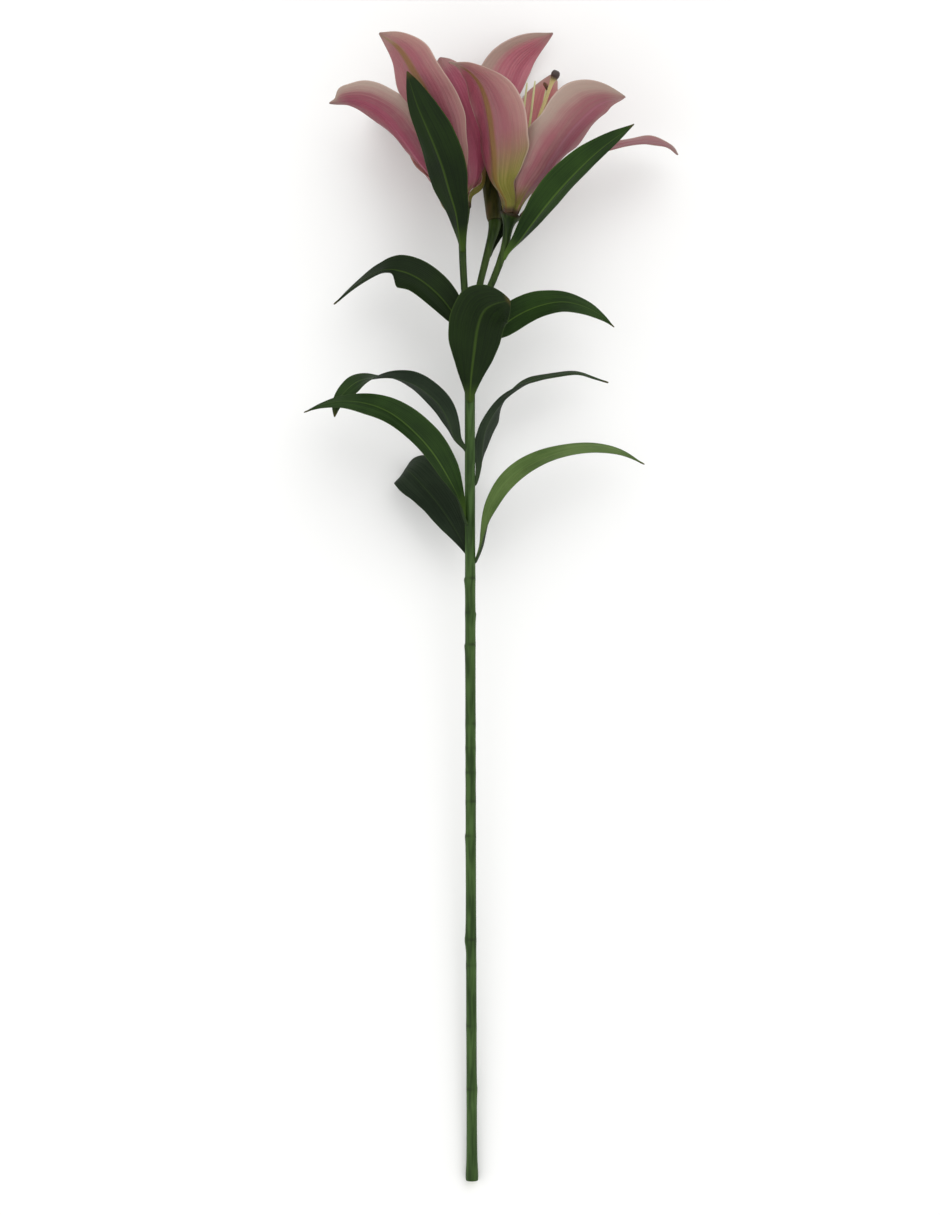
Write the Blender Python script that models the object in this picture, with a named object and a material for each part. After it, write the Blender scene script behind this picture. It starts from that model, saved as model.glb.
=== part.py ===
"""Cut lily stem lying on a flat surface: one stem, leaves, two open blooms and a bud.

Everything is laid out in the stem's own frame, in millimetres: X to the right, Y along
the stem from the cut end to the flowers, and Z away from the table.  At the end the
whole plant is leaned on its cut end and its lowest petals, so that it rests on Z = 0.
"""
import math

import bpy
import numpy as np

for leftover in list(bpy.data.objects):
    bpy.data.objects.remove(leftover, do_unlink=True)

# All lengths below are in millimetres and all angles in degrees.
MM = 0.001

# How the plant lies on the table.
LEAN_DEG = 4.388
ROLL_DEG = -1.491

# Stem: a small swelling stands where each leaf sat or sits.
STEM_TOP = 604.0
STEM_RADIUS = 3.7
STEM_DRIFT = -1.5
CUT_END_RADIUS = 4.5
CUT_END_CHAMFER = 0.6
CROWN_RADIUS = 5.6
CROWN_START = 597.0
NODE_SWELLING = 0.45
NODE_REACH = 6.0
STEM_NODES = [64.0, 108.0, 150.0, 168.0, 240.0, 264.0, 284.0, 301.0, 318.0, 373.0, 395.0, 419.0]
STEM_SIDES = 14

# Flower stalks, each thickening into the receptacle that carries its bloom.
STALK_LIFT = 0.9
STALK_RADIUS = 2.5
STALK_SIDES = 12
RECEPTACLE_RADIUS = 8.2
RECEPTACLE_DEPTH = 8.0
SEAT_GAP = 0.3

# Leaves and bracts.
LEAF_THICKNESS = 0.9
LEAF_ACROSS = 4
LEAF_ALONG = 17
LEAF_SHAPE = (0.13, 0.42, 1.9, 1.1)
LEAF_WAVE = (0.8, 2.0, 0.1)

# Petals stand on the inner ring and sepals on the outer one.
TEPAL_THICKNESS = 1.0
TEPAL_ACROSS = 6
TEPAL_ALONG = 15
TEPAL_WAVE = 1.6
PETAL_RING = 4.6
PETAL_CLAW = (8.0, 8.0)
PETAL_SHAPE = (0.15, 0.56, 2.4, 0.85)
SEPAL_RING = 7.0
SEPAL_CLAW = (11.5, 7.5)
SEPAL_SHAPE = (0.17, 0.58, 2.7, 0.85)
CLAW_LIFT = 0.7

# Stamens and pistil.
FILAMENT_RING = 2.5
FILAMENT_LIFT = 0.4
FILAMENT_RADIUS = 0.75
FILAMENT_BEND = (6.0, 40.0)
ANTHER_RADIUS = 1.6
ANTHER_LENGTH = 12.0
ANTHER_CLEARANCE = 0.95
ANTHER_END_RADIUS = 0.5
OVARY_RADIUS = 2.0
STYLE_RADIUS = 1.25
STYLE_BEND = 45.0
STIGMA_RADIUS = 3.2

# Bud on the middle stalk.
BUD_BASE = (16.0, 674.0, -19.0)
BUD_WAY = (-0.06, 0.93, -0.36)
BUD_LENGTH = 74.0
BUD_RADIUS = 7.6
BUD_FOOT_RADIUS = 5.0
BUD_TIP_RADIUS = 1.6

# Steps between two given points of a smooth curve.
CURVE_STEPS = 12

PIECES = []

COLOURS = {
    "stem_green": (0.10, 0.19, 0.05, 1.0),
    "leaf_green": (0.05, 0.13, 0.03, 1.0),
    "petal_pink": (0.55, 0.26, 0.31, 1.0),
    "bud_green": (0.17, 0.15, 0.05, 1.0),
    "filament_green": (0.55, 0.58, 0.28, 1.0),
    "pollen_brown": (0.06, 0.035, 0.02, 1.0),
}


def unit(vector):
    vector = np.asarray(vector, float)
    return vector / np.linalg.norm(vector)


def smooth_path(points, count):
    """Evenly spaced points on a smooth curve through the given ones."""
    knots = np.array(points, float)
    before = 2 * knots[0] - knots[1]
    after = 2 * knots[-1] - knots[-2]
    knots = np.vstack([before, knots, after])
    dense = []
    for i in range(1, len(knots) - 2):
        a, b, c, d = knots[i - 1:i + 3]
        for t in np.linspace(0.0, 1.0, CURVE_STEPS, endpoint=False):
            bend = (2 * a - 5 * b + 4 * c - d) * t ** 2 + (3 * b - a - 3 * c + d) * t ** 3
            dense.append(0.5 * (2 * b + (c - a) * t + bend))
    dense.append(knots[-2])
    dense = np.array(dense)
    steps = np.linalg.norm(np.diff(dense, axis=0), axis=1)
    walked = np.concatenate([[0.0], np.cumsum(steps)])
    wanted = np.linspace(0.0, walked[-1], count)
    return np.column_stack([np.interp(wanted, walked, dense[:, k]) for k in range(3)])


def along(values, v):
    """Read a value from (share of the length, value) pairs."""
    shares = [pair[0] for pair in values]
    amounts = [pair[1] for pair in values]
    return float(np.interp(v, shares, amounts))


def outline(v, base, peak, taper, point):
    """Share of the full half-width at a share v of the length."""
    if v <= peak:
        return base + (1.0 - base) * math.sin(0.5 * math.pi * v / peak) ** 1.25
    t = (v - peak) / (1.0 - peak)
    return max((1.0 - t ** taper) ** point, 0.03)


def tangents(path):
    return np.array([unit(t) for t in np.gradient(path, axis=0)])


def closed_mesh(name, rings, colour):
    """One solid from a row of closed rings, with a flat fan over each end.

    The second half of each ring takes the other diagonal, so that the two faces of a thin
    blade are cut alike and never cross where the blade twists.
    """
    count = len(rings[0])
    verts = [tuple(p) for ring in rings for p in ring]
    faces = []
    for i in range(len(rings) - 1):
        for j in range(count):
            k = (j + 1) % count
            low = i * count
            high = low + count
            if j < count // 2:
                faces.append((low + j, low + k, high + k))
                faces.append((low + j, high + k, high + j))
            else:
                faces.append((low + j, low + k, high + j))
                faces.append((low + k, high + k, high + j))
    first = len(verts)
    verts.append(tuple(np.mean(rings[0], axis=0)))
    last = len(verts)
    verts.append(tuple(np.mean(rings[-1], axis=0)))
    top = (len(rings) - 1) * count
    for j in range(count):
        k = (j + 1) % count
        faces.append((first, k, j))
        faces.append((last, top + j, top + k))
    if signed_volume(verts, faces) < 0.0:
        faces = [face[::-1] for face in faces]
    PIECES.append((name, np.array(verts), faces, colour))


def make_object(name, verts, faces, colour):
    """A Blender object with its own material, from places in millimetres."""
    mesh = bpy.data.meshes.new(name)
    mesh.from_pydata([tuple(p) for p in verts * MM], [], faces)
    mesh.update()
    solid = bpy.data.objects.new(name, mesh)
    bpy.context.scene.collection.objects.link(solid)
    finish = bpy.data.materials.new(name + "_" + colour)
    finish.use_nodes = True
    shader = finish.node_tree.nodes["Principled BSDF"]
    shader.inputs["Base Color"].default_value = COLOURS[colour]
    shader.inputs["Roughness"].default_value = 0.6
    solid.data.materials.append(finish)


def signed_volume(points, faces):
    corners = np.array(points)[np.array(faces)]
    spread = np.cross(corners[:, 1], corners[:, 2])
    return float(np.sum(corners[:, 0] * spread) / 6.0)


def lay_down(points):
    """Turn places in the stem's own frame onto the table, still off centre."""
    roll = math.radians(ROLL_DEG)
    lean = math.radians(LEAN_DEG)
    about_stem = np.array([[math.cos(roll), 0.0, math.sin(roll)],
                           [0.0, 1.0, 0.0],
                           [-math.sin(roll), 0.0, math.cos(roll)]])
    about_side = np.array([[1.0, 0.0, 0.0],
                           [0.0, math.cos(lean), -math.sin(lean)],
                           [0.0, math.sin(lean), math.cos(lean)]])
    return points @ (about_side @ about_stem).T


def blade(name, points, sideways, half_width, shape, roll, curl, keel=0.0, wave=(0.0, 1.0, 0.0),
          thickness=LEAF_THICKNESS, across=LEAF_ACROSS, stations=LEAF_ALONG, colour="leaf_green"):
    """A leaf, petal or sepal: a thin curved solid swept along its midrib.

    sideways is the direction its width takes at the base, shape the outline's numbers,
    roll its turn about the midrib, curl the arc of its cross-section (all three in
    degrees), keel the depth of its fold and wave the (height, count, start) of its margin.
    """
    path = smooth_path(points, stations)
    headings = tangents(path)
    rings = []
    for i in range(stations):
        v = i / (stations - 1)
        heading = headings[i]
        width_way = unit(sideways - heading * np.dot(sideways, heading))
        face_way = np.cross(heading, width_way)
        turn = math.radians(along(roll, v))
        turned = width_way * math.cos(turn) + face_way * math.sin(turn)
        face_way = face_way * math.cos(turn) - width_way * math.sin(turn)
        width_way = turned
        half = half_width * outline(v, *shape)
        arc = math.radians(along(curl, v))
        upper = []
        lower = []
        for j in range(across + 1):
            u = 2.0 * j / across - 1.0
            side, rise = arc_point(u, half, arc)
            rise += keel * half * abs(u)
            swell = math.sin(2.0 * math.pi * (wave[1] * v + wave[2]) + 1.2 * (u > 0.0))
            rise += wave[0] * swell * abs(u) ** 3 * math.sin(math.pi * v)
            centre = path[i] + width_way * side + face_way * rise
            depth = 0.5 * thickness * (1.0 - 0.7 * u * u) * min(1.0, 0.3 + half / 3.0)
            upper.append(centre + face_way * depth)
            lower.append(centre - face_way * depth)
        edge_left = 0.5 * (upper[0] + lower[0])
        edge_right = 0.5 * (upper[-1] + lower[-1])
        rings.append([edge_left] + upper[1:-1] + [edge_right] + lower[-2:0:-1])
    closed_mesh(name, rings, colour)


def arc_point(u, half, arc):
    """Sideways and upward place of a point on a cross-section bent to an arc."""
    if abs(arc) < 1e-3:
        return u * half, 0.0
    radius = half / arc
    return radius * math.sin(u * arc), radius * (1.0 - math.cos(u * arc))


def rod(name, points, radii, sides, colour, stations=12, lobes=(0.0, 3)):
    """A round solid swept along a path; radii are (share of the length, radius) pairs."""
    path = smooth_path(points, stations)
    headings = tangents(path)
    rings = []
    for i in range(stations):
        v = i / (stations - 1)
        width_way = unit(np.cross(headings[i], (0.0, 0.0, 1.0)))
        face_way = np.cross(width_way, headings[i])
        ring = []
        for j in range(sides):
            turn = 2.0 * math.pi * j / sides
            reach = along(radii, v) * (1.0 + lobes[0] * math.cos(lobes[1] * turn))
            ring.append(path[i] + reach * (width_way * math.cos(turn) + face_way * math.sin(turn)))
        rings.append(ring)
    closed_mesh(name, rings, colour)


def lathe_rod(name, levels, sides, colour):
    """A round solid from (centre point, radius) levels, square to the stem."""
    rings = []
    for centre, radius in levels:
        ring = []
        for j in range(sides):
            turn = 2.0 * math.pi * j / sides
            offset = np.array([radius * math.cos(turn), 0.0, radius * math.sin(turn)])
            ring.append(np.array(centre, float) + offset)
        rings.append(ring)
    closed_mesh(name, rings, colour)


def stem_x(y):
    """The stem drifts a hair to the left on its way up."""
    return STEM_DRIFT * y / STEM_TOP


def stem_levels():
    levels = [((0.0, 0.0, 0.0), CUT_END_RADIUS - CUT_END_CHAMFER)]
    levels.append(((0.0, 0.5, 0.0), CUT_END_RADIUS))
    levels.append(((0.0, 9.0, 0.0), CUT_END_RADIUS - 0.2))
    levels.append(((0.0, 16.0, 0.0), STEM_RADIUS + 0.1))
    for node in STEM_NODES:
        levels.append(((stem_x(node), node - NODE_REACH, 0.0), STEM_RADIUS))
        levels.append(((stem_x(node), node, 0.0), STEM_RADIUS + NODE_SWELLING))
        levels.append(((stem_x(node), node + NODE_REACH, 0.0), STEM_RADIUS))
    levels.append(((stem_x(540.0), 540.0, 0.0), STEM_RADIUS - 0.1))
    levels.append(((stem_x(585.0), 585.0, 0.0), STEM_RADIUS + 0.1))
    levels.append(((-1.0, CROWN_START, 0.0), CROWN_RADIUS - 0.4))
    levels.append(((-0.5, STEM_TOP, 0.0), CROWN_RADIUS))
    return levels


lathe_rod("stem", stem_levels(), STEM_SIDES, "stem_green")

STALK_FOOT = STEM_TOP + STALK_LIFT

LEFT_STALK = [(-3.4, STALK_FOOT, 1.2), (-5, 616, 2), (-5.5, 626, 2), (-6.5, 641, 2), (-7.0, 657, 1)]
MIDDLE_STALK = [(0.2, STALK_FOOT, -3.2), (2, 617, -4), (4, 625, -5), (8.5, 642, -8), (12.5, 657, -12)]
RIGHT_STALK = [(2.9, STALK_FOOT, 1.4), (7, 614.5, 2), (11.5, 622, 2), (17.5, 635.5, 2), (22.5, 649, 1)]


class Bloom:
    """Where one flower sits, which way it faces and the pieces standing on it."""

    def __init__(self, side, base, tilt_deg):
        self.side = side
        self.base = np.array(base, float)
        tilt = math.radians(tilt_deg)
        self.axis = np.array([math.sin(tilt), math.cos(tilt), 0.0])
        self.right = np.array([math.cos(tilt), -math.sin(tilt), 0.0])
        self.front = np.array([0.0, 0.0, 1.0])

    def place(self, azimuth, out, up):
        turn = math.radians(azimuth)
        away = self.right * math.cos(turn) + self.front * math.sin(turn)
        return self.base + self.axis * up + away * out

    def sideways(self, azimuth):
        turn = math.radians(azimuth)
        away = self.right * math.cos(turn) + self.front * math.sin(turn)
        return np.cross(self.axis, away)

    def tepal(self, name, azimuth, points, half_width, inner, roll=0.0, curl=(60, 38, -5)):
        """One petal (inner ring) or sepal (outer ring) standing on the receptacle."""
        if inner:
            foot = [self.place(azimuth, PETAL_RING, CLAW_LIFT), self.place(azimuth, *PETAL_CLAW)]
            shape = PETAL_SHAPE
        else:
            foot = [self.place(azimuth, SEPAL_RING, CLAW_LIFT), self.place(azimuth, *SEPAL_CLAW)]
            shape = SEPAL_SHAPE
        bend = [(0.0, curl[0]), (0.4, curl[1]), (1.0, curl[2])]
        turn = [(0.0, 0.0), (0.25, 0.3 * roll), (0.6, roll), (1.0, roll)]
        blade(name, foot + list(points), self.sideways(azimuth), half_width, shape, turn, bend,
              wave=(TEPAL_WAVE, 2.5, 0.1 * azimuth), thickness=TEPAL_THICKNESS,
              across=TEPAL_ACROSS, stations=TEPAL_ALONG, colour="petal_pink")

    def receptacle_stalk(self, name, points):
        """The flower's stalk, flaring into the receptacle under its petals."""
        end = [self.base - self.axis * RECEPTACLE_DEPTH, self.base - self.axis * SEAT_GAP]
        radii = [(0.0, STALK_RADIUS - 0.2), (0.12, STALK_RADIUS), (0.7, STALK_RADIUS + 0.2),
                 (0.88, STALK_RADIUS + 1.1), (0.95, STALK_RADIUS + 4.0), (1.0, RECEPTACLE_RADIUS)]
        rod(name, list(points) + end, radii, STALK_SIDES, "stem_green", stations=20)

    def stamen(self, number, azimuth, tip, anther):
        """One filament and, where it still has one, the anther across its end."""
        root = self.place(azimuth, FILAMENT_RING, FILAMENT_LIFT)
        middle = self.place(azimuth, *FILAMENT_BEND)
        name = f"filament_{self.side}_{number}"
        rod(name, [root, middle, tip], [(0.0, FILAMENT_RADIUS), (1.0, FILAMENT_RADIUS * 0.8)],
            6, "filament_green", stations=9)
        if not anther:
            return
        heading = unit(np.array(tip) - middle)
        cross_way = unit(self.sideways(azimuth) + 0.6 * self.axis)
        centre = np.array(tip) + heading * (ANTHER_RADIUS + ANTHER_CLEARANCE)
        ends = [centre - cross_way * ANTHER_LENGTH / 2, centre, centre + cross_way * ANTHER_LENGTH / 2]
        radii = [(0.0, ANTHER_END_RADIUS), (0.2, ANTHER_RADIUS * 0.9), (0.5, ANTHER_RADIUS),
                 (0.8, ANTHER_RADIUS * 0.9), (1.0, ANTHER_END_RADIUS)]
        rod(f"anther_{self.side}_{number}", ends, radii, 8, "pollen_brown", stations=7)

    def pistil(self, tip):
        """Ovary, style and three-lobed stigma, grown as one piece."""
        root = self.base.copy()
        middle = self.base + self.axis * STYLE_BEND
        radii = [(0.0, OVARY_RADIUS - 0.5), (0.03, OVARY_RADIUS), (0.2, OVARY_RADIUS - 0.1),
                 (0.26, STYLE_RADIUS), (0.9, STYLE_RADIUS), (0.95, STIGMA_RADIUS),
                 (0.985, STIGMA_RADIUS), (1.0, STIGMA_RADIUS * 0.6)]
        rod(f"pistil_{self.side}", [root, middle, tip], radii, 9, "filament_green",
            stations=24, lobes=(0.08, 3))


LEFT = Bloom("left", (-8.5, 680.0, 0.0), -18.0)
RIGHT = Bloom("right", (27.5, 677.0, 0.0), 14.0)

# Left bloom: outer sepals, then inner petals.
LEFT.tepal("sepal_left_front", 95, [(-12.5, 700.0, 19.0), (-16.5, 717.0, 29.0), (-22.0, 735.0, 36.0),
                                    (-30.0, 753.0, 40.0), (-40.0, 771.0, 41.0), (-50.5, 787.0, 40.0),
                                    (-64.0, 797.5, 38.0)], 24.0, inner=False, roll=-33)
LEFT.tepal("sepal_left_right", 332, [(6.5, 697.0, -8.0), (8.0, 712.0, -13.0), (5.0, 731.0, -15.0),
                                     (-2.0, 751.0, -19.0), (-9.5, 767.0, -26.0)], 15.5, inner=False, roll=-28)
LEFT.tepal("sepal_left_back", 215, [(-25.0, 698.0, -13.0), (-37.0, 718.0, -25.0), (-48.0, 738.0, -37.0),
                                    (-56.0, 755.0, -50.0), (-62.0, 763.0, -61.0)], 18.0, inner=False)
LEFT.tepal("petal_left_side", 155, [(-25.0, 699.0, 7.0), (-35.0, 712.0, 11.0), (-46.0, 727.0, 15.0),
                                    (-58.0, 741.0, 18.0), (-72.0, 750.5, 19.0), (-86.0, 754.0, 18.0),
                                    (-99.5, 752.5, 14.0)], 20.0, inner=True, roll=36, curl=(60, 58, 15))
LEFT.tepal("petal_left_front", 35, [(2.0, 699.0, 9.0), (3.5, 713.0, 12.0), (1.5, 729.0, 16.0),
                                    (-4.5, 745.0, 21.0), (-12.0, 760.0, 26.0), (-22.0, 775.0, 29.0)],
           17.5, inner=True, roll=-38)
LEFT.tepal("petal_left_back", 275, [(-11.0, 701.0, -16.0), (-14.0, 723.0, -29.0), (-17.0, 745.0, -41.0),
                                    (-19.0, 762.0, -53.0), (-20.0, 771.0, -62.0)], 16.2, inner=True)

# Right bloom.
RIGHT.tepal("sepal_right_front", 118, [(17.5, 697.0, 19.0), (15.5, 712.5, 28.0), (13.5, 728.0, 36.0),
                                       (11.0, 745.5, 43.0), (5.0, 762.0, 49.0), (-4.0, 773.0, 53.0),
                                       (-14.5, 779.0, 54.0)], 24.0, inner=False, roll=-2)
RIGHT.tepal("sepal_right_side", 358, [(46.5, 691.5, -3.0), (61.0, 705.0, -6.0), (79.5, 720.5, -10.0),
                                      (100.5, 729.0, -15.0), (122.0, 732.0, -23.0), (138.0, 729.0, -30.0),
                                      (146.5, 724.0, -36.0)], 19.0, inner=False)
RIGHT.tepal("sepal_right_back", 238, [(22.0, 703.0, -18.0), (18.0, 726.0, -30.0), (18.5, 749.0, -39.0),
                                      (23.0, 773.5, -45.0), (33.0, 794.0, -48.0), (56.0, 812.0, -50.0)],
            21.5, inner=False)
RIGHT.tepal("petal_right_front", 58, [(39.0, 692.0, 15.0), (49.0, 704.0, 22.0), (60.0, 719.5, 30.0),
                                      (73.0, 736.0, 37.0), (88.0, 747.5, 43.0), (105.5, 751.5, 46.0)],
            25.2, inner=True, roll=9, curl=(60, 57, 14))
RIGHT.tepal("petal_right_back", 298, [(38.5, 701.0, -15.0), (45.2, 724.0, -28.0), (50.9, 747.0, -41.0),
                                      (53.4, 765.0, -51.0), (55.0, 774.0, -58.0), (55.8, 772.5, -65.0)],
            14.7, inner=True)
RIGHT.tepal("petal_right_left", 176, [(18.5, 697.0, 2.0), (17.5, 714.0, 1.0), (17.0, 733.0, -2.0),
                                      (15.5, 751.0, -7.0), (14.0, 766.0, -14.0)], 14.0, inner=True)

# Stamens: (tip of the filament, whether its anther is still there), a sixth of a turn apart.
STAMENS = [
    (LEFT, [((-22, 770, 14), True), ((-30, 764, 12), True), ((-38, 758, 2), True),
            ((-33, 758, -14), True), ((-24, 766, -18), True), ((-16, 770, -6), True)]),
    (RIGHT, [((62, 748, 18), True), ((44, 764, 10), False), ((36, 768, 8), False),
             ((28, 764, -14), True), ((34, 757, -20), True), ((52, 765, -10), True)]),
]
for bloom, stamens in STAMENS:
    for number, (tip, anther) in enumerate(stamens):
        bloom.stamen(number + 1, 60.0 * number + 30.0, tip, anther)
LEFT.pistil((-30.0, 778.0, 0.0))
RIGHT.pistil((59.0, 777.0, 4.0))

LEFT.receptacle_stalk("flower_stalk_left", LEFT_STALK)
RIGHT.receptacle_stalk("flower_stalk_right", RIGHT_STALK)

# Middle stalk with its closed bud.
bud_base = np.array(BUD_BASE)
bud_way = unit(BUD_WAY)
middle_end = [bud_base - bud_way * (4.0 + SEAT_GAP), bud_base - bud_way * SEAT_GAP]
rod("flower_stalk_middle", MIDDLE_STALK + middle_end,
    [(0.0, STALK_RADIUS - 0.3), (0.12, STALK_RADIUS - 0.1), (0.7, STALK_RADIUS + 0.1),
     (0.85, STALK_RADIUS + 0.9), (1.0, BUD_FOOT_RADIUS)], STALK_SIDES, "stem_green", stations=16)
rod("bud", [bud_base, bud_base + bud_way * BUD_LENGTH / 2, bud_base + bud_way * BUD_LENGTH],
    [(0.0, BUD_FOOT_RADIUS), (0.08, BUD_FOOT_RADIUS + 0.8), (0.35, BUD_RADIUS - 0.6), (0.62, BUD_RADIUS),
     (0.8, BUD_RADIUS - 1.0), (0.92, BUD_RADIUS - 3.4), (1.0, BUD_TIP_RADIUS)],
    STALK_SIDES, "bud_green", stations=14, lobes=(0.05, 3))

# Leaves: (name, midrib points, azimuth round the stem, half-width, turn along it, curl, keel).
LEAVES = [
    ("leaf_1_upper_left", [(-5.6, 586.0, -4.0), (-9.5, 601.0, -5.0), (-18.5, 615.0, -4.0),
                           (-29.0, 625.5, -2.0), (-40.0, 633.0, 0.0), (-51.0, 637.0, 1.0),
                           (-64.0, 637.0, 0.0), (-80.0, 628.0, -4.0), (-97.5, 614.5, -10.0)],
     185, 13.5, [(0.0, 0.0), (0.2, -65.0), (0.58, -65.0), (0.68, -12.0), (1.0, -5.0)], (60, 25, 0), 0.1),
    ("leaf_2_front", [(-1.5, 550.0, 4.9), (-0.5, 563.0, 8.0), (1.5, 579.0, 14.0), (4.0, 597.0, 22.0),
                      (8.0, 610.0, 32.0), (16.0, 615.0, 44.0), (25.0, 612.5, 58.0)],
     90, 19.5, [(0.0, 0.0), (1.0, 0.0)], (50, 20, 10), 0.1),
    ("leaf_3_upper_right", [(3.6, 571.0, 0.0), (9.0, 585.0, 1.0), (20.0, 597.0, 2.5), (34.0, 606.5, 6.0),
                            (49.5, 612.5, 9.0), (64.5, 614.5, 8.0), (79.5, 611.0, 5.0), (91.5, 604.5, 0.0),
                            (100.0, 598.0, -4.0)],
     0, 13.0, [(0.0, 0.0), (0.3, 58.0), (1.0, 48.0)], (50, 20, 0), 0.1),
    ("leaf_4_mid_left", [(-5.6, 514.0, 1.0), (-10.5, 518.5, 3.0), (-14.5, 529.0, 6.0), (-20.5, 541.0, 9.0),
                         (-29.5, 550.5, 12.0), (-41.0, 558.0, 14.0), (-55.0, 562.0, 15.0),
                         (-67.5, 561.5, 15.0), (-78.5, 559.0, 14.0), (-87.5, 552.5, 13.0),
                         (-94.0, 543.5, 12.0), (-96.0, 534.0, 11.0)],
     175, 10.0, [(0.0, 30.0), (0.2, 50.0), (0.5, 25.0), (0.66, 0.0), (0.8, -50.0), (1.0, -60.0)],
     (30, 20, 0), 0.1),
    ("leaf_5_lower_left", [(-5.0, 464.0, 3.0), (-8.5, 476.0, 7.0), (-14.0, 487.0, 12.0),
                           (-25.5, 506.0, 19.0), (-38.5, 521.5, 24.0), (-54.0, 534.5, 26.0),
                           (-70.5, 542.0, 25.0), (-89.0, 544.5, 21.0), (-104.5, 542.0, 16.0),
                           (-117.5, 537.5, 11.0)],
     165, 12.0, [(0.0, -20.0), (0.25, -60.0), (0.7, -60.0), (1.0, -30.0)], (40, 20, 0), 0.1),
    ("leaf_6_back_left", [(-1.4, 438.0, -6.0), (-9.0, 455.0, -8.0), (-19.0, 472.0, -12.0),
                          (-30.0, 486.0, -17.0), (-41.0, 496.0, -24.0), (-47.0, 499.0, -32.0),
                          (-50.0, 497.0, -41.0)],
     235, 22.0, [(0.0, 0.0), (0.3, -20.0), (1.0, -20.0)], (45, 15, 0), 0.05),
    ("leaf_7_mid_right", [(3.6, 492.0, -1.0), (5.5, 502.0, -3.0), (6.0, 513.0, -5.0), (8.0, 525.0, -7.0),
                          (13.0, 536.0, -8.0), (21.0, 546.5, -9.0), (30.0, 554.0, -10.0),
                          (40.0, 560.0, -10.0), (55.0, 564.0, -11.0), (72.5, 566.5, -12.0),
                          (86.0, 563.0, -14.0), (96.5, 560.0, -16.0)],
     350, 9.0, [(0.0, -20.0), (0.2, -60.0), (0.35, -20.0), (0.42, 0.0), (0.6, 18.0), (1.0, 22.0)],
     (30, 20, 0), 0.1),
    ("leaf_8_lower_right", [(3.6, 437.0, 0.0), (6.5, 444.5, 3.0), (8.5, 454.0, 5.0), (11.0, 464.5, 7.0),
                            (15.5, 475.0, 9.0), (23.0, 486.5, 10.0), (34.0, 496.5, 10.0),
                            (46.0, 503.5, 9.0), (60.0, 509.0, 8.0), (75.5, 512.5, 6.0),
                            (89.5, 513.0, 3.0), (105.0, 510.0, -2.0), (121.5, 502.0, -8.0)],
     5, 9.0, [(0.0, 10.0), (0.35, 22.0), (0.6, 12.0), (1.0, 12.0)], (30, 20, 0), 0.1),
    ("bract_1_left", [(-6.9, 655.0, 5.2), (-9.0, 665.0, 9.5), (-11.0, 677.0, 15.0), (-15.5, 691.0, 24.0),
                      (-20.0, 705.5, 34.0), (-25.5, 719.0, 43.0), (-31.0, 731.0, 48.0),
                      (-38.0, 747.5, 52.0), (-44.5, 769.0, 53.0)],
     110, 15.5, [(0.0, 0.0), (1.0, 0.0)], (45, 20, 10), 0.1),
    ("bract_2_right", [(25.7, 651.0, 3.2), (33.0, 658.5, 8.0), (41.5, 669.0, 15.0), (50.5, 680.0, 22.0),
                       (61.5, 692.5, 28.0), (73.0, 704.0, 33.0), (85.0, 715.0, 36.0), (97.0, 724.5, 36.0),
                       (112.0, 735.5, 33.0)],
     60, 9.0, [(0.0, 0.0), (0.4, -10.0), (1.0, -10.0)], (45, 20, 10), 0.1),
    ("bract_3_back", [(14.9, 655.0, -15.4), (19.0, 666.0, -21.0), (26.0, 680.0, -28.0), (31.0, 697.0, -36.0),
                      (34.0, 715.0, -44.0), (36.0, 733.0, -51.0)],
     290, 7.0, [(0.0, 0.0), (1.0, 0.0)], (30, 15, 5), 0.1),
]

for name, points, azimuth, half_width, roll, curl, keel in LEAVES:
    turn = math.radians(azimuth)
    sideways = np.array([math.sin(turn), 0.0, -math.cos(turn)])
    arc = [(0.0, curl[0]), (0.4, curl[1]), (1.0, curl[2])]
    blade(name, points, sideways, half_width, LEAF_SHAPE, roll, arc, keel, LEAF_WAVE)

# Lay the whole plant down, with the middle of its box over the origin and its lowest
# point on the table.
laid = [lay_down(verts) for _, verts, _, _ in PIECES]
corners = np.vstack(laid)
low = corners.min(axis=0)
high = corners.max(axis=0)
shift = np.array([0.5 * (low[0] + high[0]), 0.5 * (low[1] + high[1]), low[2]])
for (name, _, faces, colour), verts in zip(PIECES, laid):
    make_object(name, verts - shift, faces, colour)
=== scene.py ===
# %% [markdown]
# # A cut lily, lying on a pale table
#
# A lily stem is a simple plan carried out many times: one round stem, long narrow leaves,
# and at the top a few short stalks that each end in a flower of three sepals, three
# petals, six stamens and a pistil.  This lesson builds it in that order.  Almost every
# piece is made the same way: a straight, flat blank is modelled first, and is then bent
# over the curve that the piece grows along.
#
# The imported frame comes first, because every piece has to lie where its solid lies.

# %% Load the frame
import math

import bpy
import numpy as np
from mathutils import Matrix, Vector, noise


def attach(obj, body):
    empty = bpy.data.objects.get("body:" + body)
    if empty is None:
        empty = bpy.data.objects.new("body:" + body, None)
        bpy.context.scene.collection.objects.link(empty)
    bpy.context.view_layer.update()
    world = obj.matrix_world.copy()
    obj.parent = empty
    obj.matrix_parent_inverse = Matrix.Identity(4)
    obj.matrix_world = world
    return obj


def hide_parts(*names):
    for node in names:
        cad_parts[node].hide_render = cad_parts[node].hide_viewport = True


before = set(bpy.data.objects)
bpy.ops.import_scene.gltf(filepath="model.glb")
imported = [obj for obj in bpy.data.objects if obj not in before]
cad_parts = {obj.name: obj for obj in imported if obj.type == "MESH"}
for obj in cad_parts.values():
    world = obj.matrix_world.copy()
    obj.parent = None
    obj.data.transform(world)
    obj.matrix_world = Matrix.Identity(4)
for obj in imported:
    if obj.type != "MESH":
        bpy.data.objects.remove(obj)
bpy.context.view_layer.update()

MM = 0.001
print("frame:", len(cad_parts), "solids")

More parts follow.
